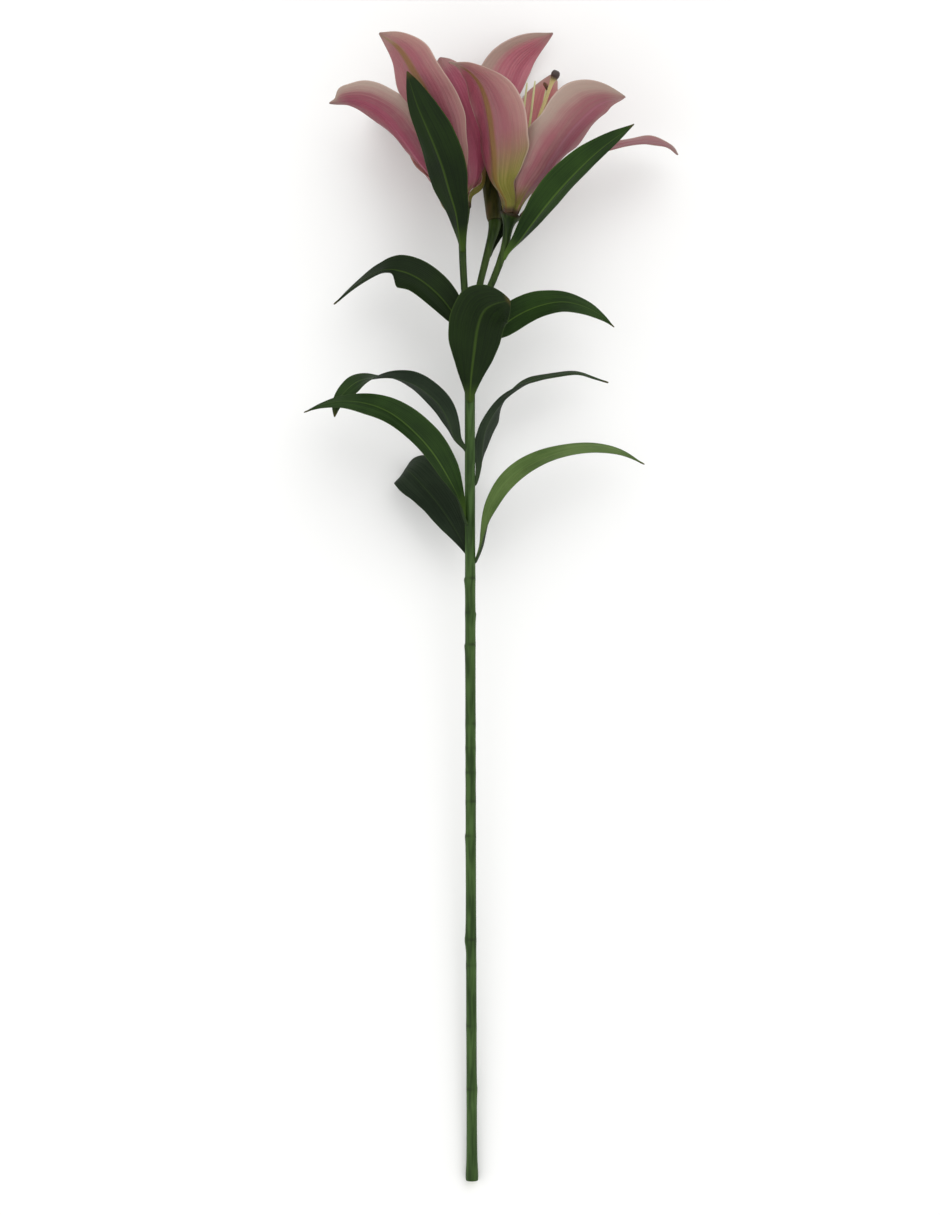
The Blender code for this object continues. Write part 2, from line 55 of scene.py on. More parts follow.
# %% [markdown]
# ## How the plant lies
#
# A lily with no vase lies down.  This one rests on its cut end, on a leaf that folds down
# behind the stem and on a back petal, so the stem climbs a little towards the flowers.
# Shapes are easiest to think about in the stem's own frame: X to the right, Y along the
# stem, Z away from the table, all in millimetres.  One matrix turns that frame onto the
# table.  Its origin is the middle of the cut end, which is read from the stem's solid.

# %% The stem's own frame
LEAN = math.radians(4.388)
ROLL = math.radians(-1.491)
lay = Matrix.Rotation(LEAN, 3, "X") @ Matrix.Rotation(ROLL, 3, "Y")
up_the_stem = lay @ Vector((0.0, 1.0, 0.0))
stem_points = [vertex.co.copy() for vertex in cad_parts["stem"].data.vertices]
lowest = min(point.dot(up_the_stem) for point in stem_points)
cut_face = [point for point in stem_points if point.dot(up_the_stem) < lowest + 0.1 * MM]
cut_end = sum(cut_face, Vector()) / len(cut_face)
LAY = np.array(lay)
CUT_END = np.array(cut_end)


def on_table(points):
    """Places in the stem's frame, in millimetres, as places in the world, in metres."""
    return np.asarray(points, float) @ LAY.T * MM + CUT_END


print("cut end at", [round(value, 4) for value in CUT_END])

# %% [markdown]
# ## Paint
#
# A finish is a small recipe of nodes.  Written out node by node it is hard to read, so
# two small classes let it be written as sums.  A `Value` wraps a socket, and Python's
# operators on it add Math nodes.  A `Paint` is one material being mixed: it adds any
# other node, and holds the shader at the end.

# %% A value in a shader
class Value:
    """A socket that can be added, multiplied and compared like a number."""

    def __init__(self, paint, socket):
        self.paint = paint
        self.socket = socket

    def __add__(self, other):
        return self.paint.maths("ADD", self, other)

    def __sub__(self, other):
        return self.paint.maths("SUBTRACT", self, other)

    def __rsub__(self, other):
        return self.paint.maths("SUBTRACT", other, self)

    def __mul__(self, other):
        return self.paint.maths("MULTIPLY", self, other)

    def __abs__(self):
        return self.paint.maths("ABSOLUTE", self)

    __radd__ = __add__
    __rmul__ = __mul__


print("values ready")

# %% A material being mixed
class Paint:
    """One material: its nodes, its helpers and its shader."""

    def __init__(self, name, **finish):
        self.material = bpy.data.materials.new(name)
        self.material.use_nodes = True
        self.nodes = self.material.node_tree.nodes
        self.links = self.material.node_tree.links
        self.shader = self.nodes["Principled BSDF"]
        for socket, value in finish.items():
            self.shader.inputs[socket.replace("_", " ")].default_value = value

    def node(self, kind, settings, inputs, output=0):
        """Add any node: its settings first, then the values or links of its sockets."""
        new = self.nodes.new(kind)
        for key, value in settings.items():
            setattr(new, key, value)
        for key, value in inputs.items():
            if isinstance(value, Value):
                self.links.new(value.socket, new.inputs[key])
            else:
                new.inputs[key].default_value = value
        return Value(self, new.outputs[output])

    def maths(self, operation, *values):
        settings = {"operation": operation}
        return self.node("ShaderNodeMath", settings, dict(enumerate(values)))

    def step(self, value, low, high):
        """0 below low, 1 above high, and a soft ramp between them."""
        settings = {"interpolation_type": "SMOOTHSTEP"}
        inputs = {"Value": value, "From Min": low, "From Max": high}
        return self.node("ShaderNodeMapRange", settings, inputs)

    def mix(self, share, first, second):
        """The first colour where share is 0, the second where it is 1."""
        new = self.nodes.new("ShaderNodeMix")
        new.data_type = "RGBA"
        for index, value in ((0, share), (6, first), (7, second)):
            if isinstance(value, Value):
                self.links.new(value.socket, new.inputs[index])
            else:
                new.inputs[index].default_value = value if index == 0 else (*value, 1.0)
        return Value(self, new.outputs[2])

    def place(self, scale=(1.0, 1.0, 1.0)):
        """Object coordinates, stretched."""
        spot = self.node("ShaderNodeTexCoord", {}, {}, "Object")
        return self.node("ShaderNodeMapping", {}, {"Vector": spot, "Scale": scale})

    def grain(self, vector, scale, detail=3.0, rough=0.5):
        """Soft noise from 0 to 1."""
        inputs = {"Vector": vector, "Scale": scale, "Detail": detail, "Roughness": rough}
        return self.node("ShaderNodeTexNoise", {}, inputs)

    def blade_place(self):
        """Across (-1 to 1) and along (0 to 1) a blade, from the blank's own map."""
        spot = self.node("ShaderNodeUVMap", {"uv_map": "UVMap"}, {})
        across = self.node("ShaderNodeSeparateXYZ", {}, {"Vector": spot}, "X")
        along = self.node("ShaderNodeSeparateXYZ", {}, {"Vector": spot}, "Y")
        return across * 2.0 - 1.0, along

    def together(self, x, y, z=0.0):
        return self.node("ShaderNodeCombineXYZ", {}, {"X": x, "Y": y, "Z": z})

    def finish(self, colour, height=None, depth=0.0, rough=None):
        """Send the colour, the bump and the roughness to the shader."""
        self.links.new(colour.socket, self.shader.inputs["Base Color"])
        if rough is not None:
            self.links.new(rough.socket, self.shader.inputs["Roughness"])
        if height is not None:
            inputs = {"Height": height, "Strength": 1.0, "Distance": depth * MM}
            bump = self.node("ShaderNodeBump", {}, inputs)
            self.links.new(bump.socket, self.shader.inputs["Normal"])
        print("paint:", self.material.name, len(self.nodes), "nodes")
        return self.material


def sheen(red, green, blue):
    """A colour as the eye grades it, 0 to 255, as the shader's linear light."""
    return tuple((value / 255.0) ** 2.2 for value in (red, green, blue))


print("paint helpers ready")

# %% [markdown]
# ## Leaf finishes
#
# A lily leaf has one pale midrib and many fine parallel veins, and its two faces differ:
# the upper one is a glossy green, the lower one is duller and slate grey.  The veins run
# with the leaf, so the recipe reads the blank's own map: it was flat and square before
# the leaf was bent, so a straight stripe on the map follows the leaf wherever it goes.

# %% Leaf, upper and lower face
DRY_TIP = sheen(92, 80, 44)


def leaf_finish(name, dark, light, rib, rough):
    paint = Paint(name, Specular_IOR_Level=0.14)
    across, along = paint.blade_place()
    edge = abs(across)
    patches = paint.grain(paint.place(), 30.0, 4.0)
    threads = paint.grain(paint.together(across * 24.0, along * 2.0), 1.0, 3.0)
    green = paint.mix(paint.step(patches * 0.55 + threads * 0.55, 0.36, 0.74), dark, light)
    veins = paint.maths("COSINE", across * 66.0) * 0.5 + 0.5
    green = paint.mix(veins * 0.14, green, light)
    green = paint.mix((1.0 - paint.step(along, 0.02, 0.16)) * 0.65, green, rib)
    centre = 1.0 - paint.step(edge + along * 0.02, 0.02, 0.09)
    green = paint.mix(centre * (0.62 - along * 0.3), green, rib)
    green = paint.mix(paint.step(edge, 0.93, 1.0) * 0.4, green, rib)
    green = paint.mix(paint.step(along, 0.95, 1.0) * 0.6, green, DRY_TIP)
    height = veins * 0.35 + threads * 0.5 + centre * 0.8
    return paint.finish(green, height, 0.22, rough=patches * 0.16 + rough)


leaf_deep = leaf_finish("leaf green, deep", sheen(14, 27, 6), sheen(30, 46, 14),
                        sheen(66, 88, 32), 0.5)
leaf_mid = leaf_finish("leaf green, mid", sheen(20, 37, 12), sheen(42, 64, 24),
                       sheen(84, 110, 46), 0.5)
leaf_fresh = leaf_finish("leaf green, fresh", sheen(58, 80, 38), sheen(98, 120, 68),
                         sheen(112, 134, 78), 0.5)
# The slate finish also paints shade on the upper face of the back left leaf.
leaf_slate = leaf_finish("leaf lower face, and painted shade", sheen(24, 35, 24), sheen(44, 55, 40),
                         sheen(54, 70, 42), 0.6)

# %% [markdown]
# ## Petal finishes
#
# No two petals of a flower are coloured quite alike.  Seen from outside, the three sepals
# show a broad olive midrib, and the three petals a rose or pale one.  Each fades to cream,
# more on one side than on the other, and has a deep rose stripe somewhere beside its
# midrib.  All of them turn yellow green at the foot.  So the recipe is shared, and the
# colour of the midrib, the pale side and the place of the stripe are choices.

# %% A petal's face
DUSTY_ROSE = sheen(134, 92, 93)
DEEP_ROSE = sheen(136, 58, 80)
CREAM = sheen(154, 137, 124)
PEACH = sheen(150, 114, 105)
OLIVE = sheen(114, 86, 38)
FOOT_GREEN = sheen(100, 104, 22)
FOOT_YELLOW = sheen(124, 120, 52)
FOOT_BROWN = sheen(62, 36, 32)
PALE_MARGIN = sheen(184, 160, 146)
SHADED_ROSE = sheen(116, 74, 79)
FULL_ROSE = sheen(138, 78, 92)
# Painted shade: the left flower's right sepal lies in shade between its neighbours, so its body is
# painted bronze.
PAINTED_SHADE_BRONZE = sheen(118, 80, 58)
SALMON = sheen(166, 110, 102)
BLUSH = sheen(170, 104, 114)
FRECKLE = sheen(120, 36, 46)


def petal_face(name, rib, rib_width=0.09, body=DUSTY_ROSE, pale_side=0.0, stripe=(0.0, 0.3, 0.5),
               pale=CREAM, foot=0.34, foot_side=0.0, tip=0.45, freckled=False):
    """One face of a petal.

    pale_side is -1 to 1 and says which side fades to the pale colour. stripe is the place across
    the petal, the width and the strength of its deep rose stripe. foot is how far up the
    green reaches, and foot_side says on which side it reaches further. tip is the share
    of cream at the tip.
    """
    paint = Paint(name, Roughness=0.5, Specular_IOR_Level=0.3, Subsurface_Weight=0.12,
                  Subsurface_Radius=(0.006, 0.003, 0.003), Subsurface_Scale=1.0)
    across, along = paint.blade_place()
    edge = abs(across)
    drift = paint.grain(paint.place(), 24.0, 3.0)
    mottle = paint.grain(paint.place(), 70.0, 4.0, 0.6)
    threads = paint.grain(paint.together(across * 9.0, along * 1.1, 3.0), 1.0, 3.0)
    fine = paint.grain(paint.together(across * 40.0, along * 1.8, 7.0), 1.0, 3.0)
    colour = paint.mix(paint.step(threads * 0.6 + fine * 0.4, 0.34, 0.68) * 0.42, body, DEEP_ROSE)
    colour = paint.mix(paint.step(fine * 0.5 + mottle * 0.5, 0.46, 0.72) * 0.30, colour, pale)
    veins = paint.maths("COSINE", across * 46.0 + threads * 5.0) * 0.5 + 0.5
    colour = paint.mix(veins * 0.16, colour, DEEP_ROSE)
    place, width, strength = stripe
    off_stripe = abs(across - place) + (drift - 0.5) * 0.25
    band = (1.0 - paint.step(off_stripe, width * 0.15, width)) * paint.step(along, 0.12, 0.36)
    band = band * (1.0 - paint.step(along + drift * 0.2, 0.86, 1.08))
    colour = paint.mix(band * (fine * 0.5 + 0.6) * strength, colour, DEEP_ROSE)
    fade = edge * 0.42 + across * (0.48 * pale_side) + along * 0.22 + drift * 0.50 + fine * 0.34
    colour = paint.mix(paint.step(fade, 0.78, 1.26) * 0.9, colour, pale)
    reach = along + drift * 0.14 + edge * 0.10 - across * (0.22 * foot_side)
    low = 1.0 - paint.step(reach, foot * 0.35, foot)
    foot_tint = paint.mix(paint.step(fine, 0.4, 0.62), FOOT_GREEN, FOOT_YELLOW)
    colour = paint.mix(low * 0.92, colour, foot_tint)
    if freckled:
        dots = paint.node("ShaderNodeTexVoronoi", {}, {"Vector": paint.place(), "Scale": 330.0})
        spots = (1.0 - paint.step(dots, 0.16, 0.30)) * (1.0 - paint.step(edge, 0.35, 0.8))
        spots = spots * paint.step(along, 0.14, 0.24) * (1.0 - paint.step(along, 0.45, 0.72))
        colour = paint.mix(spots * 0.8, colour, FRECKLE)
    centre = 1.0 - paint.step(edge + (fine - 0.5) * 0.04, rib_width * 0.35, rib_width)
    colour = paint.mix(centre * 0.8, colour, rib)
    margin = paint.step(edge + drift * 0.03, 0.95, 1.0)
    colour = paint.mix(margin * 0.55, colour, PALE_MARGIN)
    colour = paint.mix(paint.step(along + drift * 0.05, 0.90, 1.0) * tip, colour, CREAM)
    colour = paint.mix((1.0 - paint.step(along, 0.02, 0.05)) * 0.85, colour, FOOT_BROWN)
    height = fine * 0.6 + threads * 0.7 + mottle * 0.25 + veins * 0.3
    return paint.finish(colour, height, 0.4, rough=drift * 0.2 + 0.40)


petal_inner = petal_face("petal inner face", sheen(150, 130, 88), 0.07, body=SALMON,
                         stripe=(0.0, 0.55, 0.30), foot=0.30, freckled=True)
pink_inner = petal_face("petal inner face, pink", BLUSH, 0.05, body=BLUSH, pale_side=1.1,
                        stripe=(-0.45, 0.3, 0.55), foot=0.25, freckled=True)

# %% [markdown]
# ## Stem, bud, stamen and pistil finishes
#
# The stem is a dull mid green with long faint streaks.  Its pieces are round and grow
# along Y, so the streaks come from noise that is stretched along that way.  The cut face
# shows a pale pith with dots of fibre.  The bud is darker, with an olive flush; filaments
# are pale yellow green; anthers carry a grainy brown pollen.

# %% Stem and cut face
def stem_finish(name, dark, light, flush, ring_tint):
    paint = Paint(name, Specular_IOR_Level=0.16)
    streaks = paint.grain(paint.place((1.0, 0.07, 1.0)), 420.0, 3.0)
    patches = paint.grain(paint.place((1.0, 0.5, 1.0)), 55.0, 3.0)
    colour = paint.mix(paint.step(streaks * 0.6 + patches * 0.4, 0.36, 0.66), dark, light)
    colour = paint.mix(paint.step(patches, 0.58, 0.80) * 0.5, colour, flush)
    ring = paint.node("ShaderNodeAttribute", {"attribute_name": "ring"}, {}, "Fac")
    colour = paint.mix(ring * 0.8, colour, ring_tint)
    return paint.finish(colour, streaks, 0.25, rough=patches * 0.2 + 0.38)


RIM_BROWN = sheen(52, 30, 26)
stem_skin = stem_finish("stem skin", sheen(38, 57, 24), sheen(64, 88, 45), sheen(76, 96, 58),
                        sheen(30, 40, 20))
stalk_skin = stem_finish("stalk skin", sheen(28, 44, 14), sheen(54, 72, 28), sheen(62, 66, 30),
                         RIM_BROWN)
bud_skin = stem_finish("bud skin", sheen(34, 38, 16), sheen(66, 66, 30), sheen(98, 64, 50),
                       RIM_BROWN)

paint = Paint("cut face", Roughness=0.6)
fibres = paint.node("ShaderNodeTexVoronoi", {}, {"Vector": paint.place(), "Scale": 1900.0})
colour = paint.mix(paint.step(fibres, 0.12, 0.4), sheen(96, 108, 58), sheen(172, 178, 128))
cut_skin = paint.finish(colour, fibres, 0.2)

# %% Filament, pistil and anther
paint = Paint("filament", Roughness=0.42, Subsurface_Weight=0.1,
              Subsurface_Radius=(0.002, 0.002, 0.001), Subsurface_Scale=1.0)
along = paint.node("ShaderNodeAttribute", {"attribute_name": "along"}, {}, "Fac")
speckle = paint.grain(paint.place(), 600.0, 2.0)
colour = paint.mix(along, sheen(150, 166, 84), sheen(196, 196, 146))
filament_skin = paint.finish(colour, speckle, 0.1)

paint = Paint("pistil", Roughness=0.4)
along = paint.node("ShaderNodeAttribute", {"attribute_name": "along"}, {}, "Fac")
speckle = paint.grain(paint.place(), 500.0, 3.0)
colour = paint.mix(paint.step(along, 0.25, 0.6), sheen(112, 140, 60), sheen(190, 178, 120))
colour = paint.mix(paint.step(along + speckle * 0.02, 0.93, 0.965), colour, sheen(58, 44, 40))
pistil_skin = paint.finish(colour, speckle, 0.4)

paint = Paint("pollen", Roughness=0.9)
specks = paint.grain(paint.place(), 1500.0, 3.0)
colour = paint.mix(paint.step(specks, 0.4, 0.65), sheen(52, 36, 26), sheen(112, 68, 40))
pollen = paint.finish(colour, specks, 0.5)

# %% [markdown]
# ## Bending a blank
#
# A leaf is a flat strip that has been curved, turned and cupped all at once.  Blender's
# Curve modifier can bend a strip, but it chooses for itself which way the strip faces.
# A plant needs that under control, so the bending is a short piece of mesh code instead:
# it walks a smooth curve, carries a sideways direction along it and places each point of
# the blank beside and above that curve.

# %% Smooth curves
CURVE_STEPS = 40
PATH_POINTS = 200


def smooth_path(points):
    """Evenly spaced places on a smooth curve through the given ones."""
    knots = np.array(points, float)
    knots = np.vstack([2 * knots[0] - knots[1], knots, 2 * knots[-1] - knots[-2]])
    dense = []
    for i in range(1, len(knots) - 2):
        a, b, c, d = knots[i - 1:i + 3]
        for t in np.linspace(0.0, 1.0, CURVE_STEPS, endpoint=False):
            swerve = (2 * a - 5 * b + 4 * c - d) * t ** 2 + (3 * b - a - 3 * c + d) * t ** 3
            dense.append(0.5 * (2 * b + (c - a) * t + swerve))
    dense.append(knots[-2])
    dense = np.array(dense)
    walked = np.concatenate([[0.0], np.cumsum(np.linalg.norm(np.diff(dense, axis=0), axis=1))])
    wanted = np.linspace(0.0, walked[-1], PATH_POINTS)
    return np.column_stack([np.interp(wanted, walked, dense[:, k]) for k in range(3)])


def unit_rows(rows):
    return rows / np.linalg.norm(rows, axis=1, keepdims=True)


def read(pairs, share):
    """Values at the given shares of a length, from (share, value) pairs."""
    places, values = zip(*pairs)
    return np.interp(share, places, values)


print("curves ready")


# %% Bend a blank over a curve
def bend(piece, points, sideways, turn=((0.0, 0.0), (1.0, 0.0))):
    """Move a blank's vertices onto a curve.

    The blank lies along Y from 0 to 1, with X across and Z up in millimetres. points are
    the curve, sideways is the way X takes at its start, and turn is how far the piece
    has turned about the curve, in degrees, as (share, angle) pairs.
    """
    path = smooth_path(points)
    ahead = unit_rows(np.gradient(path, axis=0))
    side = unit_rows(sideways - ahead * (ahead @ sideways)[:, None])
    above = np.cross(ahead, side)
    share = np.linspace(0.0, 1.0, len(path))
    angle = np.radians(read(turn, share))[:, None]
    side, above = (side * np.cos(angle) + above * np.sin(angle),
                   above * np.cos(angle) - side * np.sin(angle))
    blank = np.array([vertex.co for vertex in piece.data.vertices])
    out = np.zeros_like(blank)
    for k in range(3):
        out[:, k] = (np.interp(blank[:, 1], share, path[:, k])
                     + blank[:, 0] * np.interp(blank[:, 1], share, side[:, k])
                     + blank[:, 2] * np.interp(blank[:, 1], share, above[:, k]))
    piece.data.vertices.foreach_set("co", on_table(out).ravel())
    piece.data.update()


def select_only(piece):
    bpy.ops.object.select_all(action="DESELECT")
    piece.select_set(True)
    bpy.context.view_layer.objects.active = piece


def smooth(piece, levels):
    """Round a piece off with a subdivision surface, and shade it smooth."""
    select_only(piece)
    bpy.ops.object.modifier_add(type="SUBSURF")
    rounding = piece.modifiers[-1]
    rounding.levels = levels
    rounding.render_levels = levels
    bpy.ops.object.modifier_apply(modifier=rounding.name)
    bpy.ops.object.shade_smooth()


def hand_in(piece, node):
    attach(piece, "root")
    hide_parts(node)


def round_and_hand_in(piece, finish, node):
    """Round a bent piece off, give it its finish, attach it to the root body and hide its solid."""
    smooth(piece, 1)
    piece.data.materials.append(finish)
    hand_in(piece, node)


print("bending ready")

# %% [markdown]
# ## The stem
#
# The real stem is round, 7 to 8 mm thick, a little wider where it was cut, and ringed by
# a low swelling wherever a leaf sat.  It could be a curve with a bevel, but rings are
# easier to control: a circle is extruded up ring by ring and resized each time.
# An extrusion numbers its new points in no fixed order, so they are numbered again.

# %% Grow a round blank, ring by ring
def renumber(blank):
    """Number the points of a blank from its foot up, and its faces by their points."""
    points = [tuple(vertex.co) for vertex in blank.data.vertices]
    order = sorted(range(len(points)), key=lambda i: (points[i][1], points[i][0], points[i][2]))
    number = {old: new for new, old in enumerate(order)}
    faces = []
    for face in blank.data.polygons:
        corners = [number[old] for old in face.vertices]
        first = corners.index(min(corners))
        faces.append(corners[first:] + corners[:first])
    mesh = bpy.data.meshes.new(blank.name)
    mesh.from_pydata([points[old] for old in order], [], sorted(faces))
    mesh.update()
    blank.data = mesh


def grow_rings(name, sides, rings):
    """A straight round blank along Y, from (place, radius) rings."""
    place, radius = rings[0]
    bpy.ops.object.select_all(action="DESELECT")
    bpy.ops.mesh.primitive_circle_add(vertices=sides, radius=radius, fill_type="NGON",
                                      location=(0.0, place, 0.0), rotation=(-math.pi / 2, 0.0, 0.0))
    blank = bpy.context.object
    blank.name = name
    bpy.ops.object.transform_apply(location=True, rotation=True, scale=True)
    bpy.ops.object.mode_set(mode="EDIT")
    for wanted_place, wanted_radius in rings[1:]:
        rise = (0.0, wanted_place - place, 0.0)
        bpy.ops.mesh.extrude_region_move(TRANSFORM_OT_translate={"value": rise})
        factor = wanted_radius / radius
        bpy.ops.transform.resize(value=(factor, 1.0, factor),
                                 center_override=(0.0, wanted_place, 0.0))
        place, radius = wanted_place, wanted_radius
    bpy.ops.mesh.select_all(action="SELECT")
    bpy.ops.mesh.normals_make_consistent(inside=False)
    bpy.ops.object.mode_set(mode="OBJECT")
    renumber(blank)
    return blank


def mark(piece, name, rule):
    """Store a number at each point of a blank, for the paint."""
    stored = piece.data.attributes.new(name, "FLOAT", "POINT")
    for vertex, value in zip(piece.data.vertices, stored.data):
        value.value = rule(vertex.co.x, vertex.co.y)


def length_mark(x, y):
    return min(max(y, 0.0), 1.0)


def press(blank, rule):
    """Press grooves into a round blank: rule gives the share of the radius that stays."""
    for vertex in blank.data.vertices:
        share = rule(math.atan2(vertex.co.z, vertex.co.x), vertex.co.y)
        vertex.co.x *= share
        vertex.co.z *= share


print("ring tool ready")

# %% The stem itself
STEM_TOP = 604.0
STEM_RADIUS = 3.7
CUT_RADIUS = 4.5
STEM_NODES = [64.0, 108.0, 150.0, 168.0, 240.0, 264.0, 284.0, 301.0, 318.0, 373.0, 395.0, 419.0]
NODE_HEIGHT = 0.14
NODE_PROFILE = [(-7.0, 0.0), (-2.5, 0.1), (-1.5, NODE_HEIGHT), (-0.4, NODE_HEIGHT),
                (0.4, NODE_HEIGHT), (1.5, NODE_HEIGHT * 0.8), (5.0, 0.0)]

levels = [(0.0, 3.7), (0.4, 4.3), (1.6, CUT_RADIUS + 0.1), (6.0, CUT_RADIUS), (11.0, 4.2),
          (18.0, 3.8)]
for node in STEM_NODES:
    levels += [(node + ahead, STEM_RADIUS + height) for ahead, height in NODE_PROFILE]
levels += [(460.0, 3.65), (500.0, 3.75), (540.0, 3.6), (585.0, 3.9), (594.0, 4.9), (600.0, 5.5),
           (603.0, 5.2), (604.2, 3.9)]
stem = grow_rings("main_stem", 20, [(y / STEM_TOP, r) for y, r in sorted(levels)])


def node_mark(x, y):
    """Dark close to a node, and more so on one side of it than on the other."""
    nearest, node = min((abs(y * STEM_TOP - node), node) for node in STEM_NODES)
    return math.exp(-(nearest / 0.8) ** 2) * (0.6 + 0.4 * math.sin(3.0 * node + 0.6 * x))


mark(stem, "ring", node_mark)
bend(stem, [(0, 0, 0), (-0.7, 200, 0), (-1.2, 400, 0), (-1.5, 585, 0), (-0.5, STEM_TOP, 0)],
     np.array([1.0, 0.0, 0.0]))

# %% [markdown]
# The leaves that have dropped off left scars: small blunt bumps on one side of a ring.
# They are pulled out of the bent stem: a few points on that side of the ring are found by
# their place and moved outwards.

# %% Leaf scars and the cut face
SCAR_REACH = 3.0
SCAR_SIDE = 0.45
SCAR_PULL = 1.6
# Each scar: its place along the stem, its azimuth in degrees and its height.
SCARS = [(64.0, 0.0, 0.35), (168.0, 180.0, 0.8), (240.0, 180.0, 0.4), (373.0, 180.0, 0.5),
         (395.0, 0.0, 0.5), (419.0, 180.0, 0.6), (284.0, 60.0, 0.4), (108.0, 120.0, 0.4)]
across_way = lay @ Vector((1.0, 0.0, 0.0))
towards_way = lay @ Vector((0.0, 0.0, 1.0))
for height, azimuth, size in SCARS:
    turn = math.radians(azimuth)
    outward = across_way * math.cos(turn) + towards_way * math.sin(turn)
    centre = Vector(on_table([-1.5 * height / STEM_TOP, height, 0.0]))
    for vertex in stem.data.vertices:
        offset = vertex.co - centre
        along = abs(offset.dot(up_the_stem))
        facing = offset.dot(outward) / (STEM_RADIUS * MM)
        if along < SCAR_REACH * MM and facing > SCAR_SIDE:
            vertex.co += outward * size * MM * (facing - SCAR_SIDE) * SCAR_PULL
smooth(stem, 1)
stem.data.materials.append(stem_skin)
stem.data.materials.append(cut_skin)
for face in stem.data.polygons:
    foot = (face.center - cut_end).dot(up_the_stem)
    face.material_index = int(foot < 0.35 * MM)
hand_in(stem, "stem")
print("stem:", len(stem.data.polygons), "faces")

# %% [markdown]
# ## Flower stalks
#
# Three stalks fork from the stem's top.  Two of them flare at the end into the receptacle,
# the small green cushion that a lily's petals stand on.  That shape repeats, so one blank
# is modelled, and each stalk is a copy that is bent over its own curve.

# %% Stalks
def copy_of(blank, name):
    piece = blank.copy()
    piece.data = blank.data.copy()
    piece.name = name
    bpy.context.scene.collection.objects.link(piece)
    return piece


class Bloom:
    """Where one flower sits and which way it faces, in the stem's frame."""

    def __init__(self, side, base, tilt):
        self.side = side
        self.base = np.array(base)
        tilt = math.radians(tilt)
        self.axis = np.array([math.sin(tilt), math.cos(tilt), 0.0])
        self.right = np.array([math.cos(tilt), -math.sin(tilt), 0.0])
        self.front = np.array([0.0, 0.0, 1.0])

    def away(self, azimuth):
        turn = math.radians(azimuth)
        return self.right * math.cos(turn) + self.front * math.sin(turn)

    def place(self, azimuth, out, up):
        return self.base + self.axis * up + self.away(azimuth) * out


LEFT = Bloom("left", (-8.5, 680.0, 0.0), -18.0)
RIGHT = Bloom("right", (27.5, 677.0, 0.0), 14.0)
TO_RIGHT = np.array([1.0, 0.0, 0.0])

stalk_blank = grow_rings("stalk_blank", 16, [
    (0.0, 1.6), (0.01, 2.3), (0.12, 2.5), (0.4, 2.55), (0.7, 2.7), (0.84, 3.1), (0.90, 3.9),
    (0.94, 5.4), (0.965, 6.9), (0.985, 8.0), (0.997, 8.1), (1.0, 7.0), (1.006, 4.0)])
mark(stalk_blank, "ring", lambda x, y: math.exp(-((y - 0.99) / 0.012) ** 2))
RECEPTACLE = 8.0
for bloom, foot in ((LEFT, [(-3.0, 600.0, 1.0), (-3.6, 606.0, 1.2), (-5.0, 616.0, 2.0),
                            (-5.5, 626.0, 2.0), (-6.5, 641.0, 2.0), (-7.0, 657.0, 1.0)]),
                    (RIGHT, [(2.0, 600.0, 1.0), (3.4, 606.0, 1.4), (7.0, 614.5, 2.0),
                             (11.5, 622.0, 2.0), (17.5, 635.5, 2.0), (22.5, 649.0, 1.0)])):
    stalk = copy_of(stalk_blank, "stalk_" + bloom.side)
    bend(stalk, foot + [bloom.base - bloom.axis * RECEPTACLE, bloom.base], TO_RIGHT)
    round_and_hand_in(stalk, stalk_skin, "flower_stalk_" + bloom.side)
bpy.data.objects.remove(stalk_blank)
print("stalks: left and right")

# %% [markdown]
# ## The bud
#
# The middle stalk ends in a flower that is still closed.  A lily bud is a long blunt
# spindle, three-sided, with a groove between each pair of sepals.  It is grown ring by
# ring as well, and its grooves are pressed in by pulling every third line of points
# towards the middle.

# %% Bud and its stalk
BUD_BASE = np.array([16.0, 674.0, -19.0])
BUD_WAY = np.array([-0.06, 0.93, -0.36])
BUD_WAY /= np.linalg.norm(BUD_WAY)
BUD_LENGTH = 74.0
bud = grow_rings("bud_closed", 24, [
    (-0.01, 3.6), (0.0, 5.0), (0.04, 5.7), (0.08, 5.9), (0.2, 6.4), (0.35, 7.0), (0.5, 7.4),
    (0.62, 7.6), (0.72, 7.3), (0.8, 6.6), (0.88, 5.2), (0.94, 3.7), (0.98, 2.2), (1.0, 1.0)])
press(bud, lambda turn, place: 1.0 - 0.13 * (0.5 + 0.5 * math.cos(3.0 * turn)) ** 6)
bend(bud, [BUD_BASE, BUD_BASE + BUD_WAY * BUD_LENGTH * 0.5, BUD_BASE + BUD_WAY * BUD_LENGTH],
     TO_RIGHT)
round_and_hand_in(bud, bud_skin, "bud")

stalk = grow_rings("stalk_middle", 16, [
    (0.0, 1.6), (0.01, 2.2), (0.12, 2.4), (0.7, 2.6), (0.85, 3.4), (0.95, 4.6), (1.0, 5.0),
    (1.004, 3.6)])
bend(stalk, [(0.0, 600.0, -2.6), (0.4, 606.0, -3.4), (2, 617, -4), (4, 625, -5), (8.5, 642, -8),
             (12.5, 657, -12), BUD_BASE - BUD_WAY * 4.0, BUD_BASE], TO_RIGHT)
round_and_hand_in(stalk, stalk_skin, "flower_stalk_middle")
print("bud and middle stalk")

# %% [markdown]
# ## Blades: leaves, bracts, sepals and petals
#
# All of these are thin blades with a midrib.  Each starts as a flat grid with its own map.
# Its rows are drawn in to the blade's outline, the middle is pressed down into a fold,
# the sides are cupped and the margins waved.  The blade is then bent over its curve, and
# a Solidify modifier gives it a wall that is thick at the midrib and foot and thin at the
# margins, with one finish on each face.

# %% Shape a blade
BLADE_ACROSS = 20
BLADE_ALONG = 44
WALL = 2.0


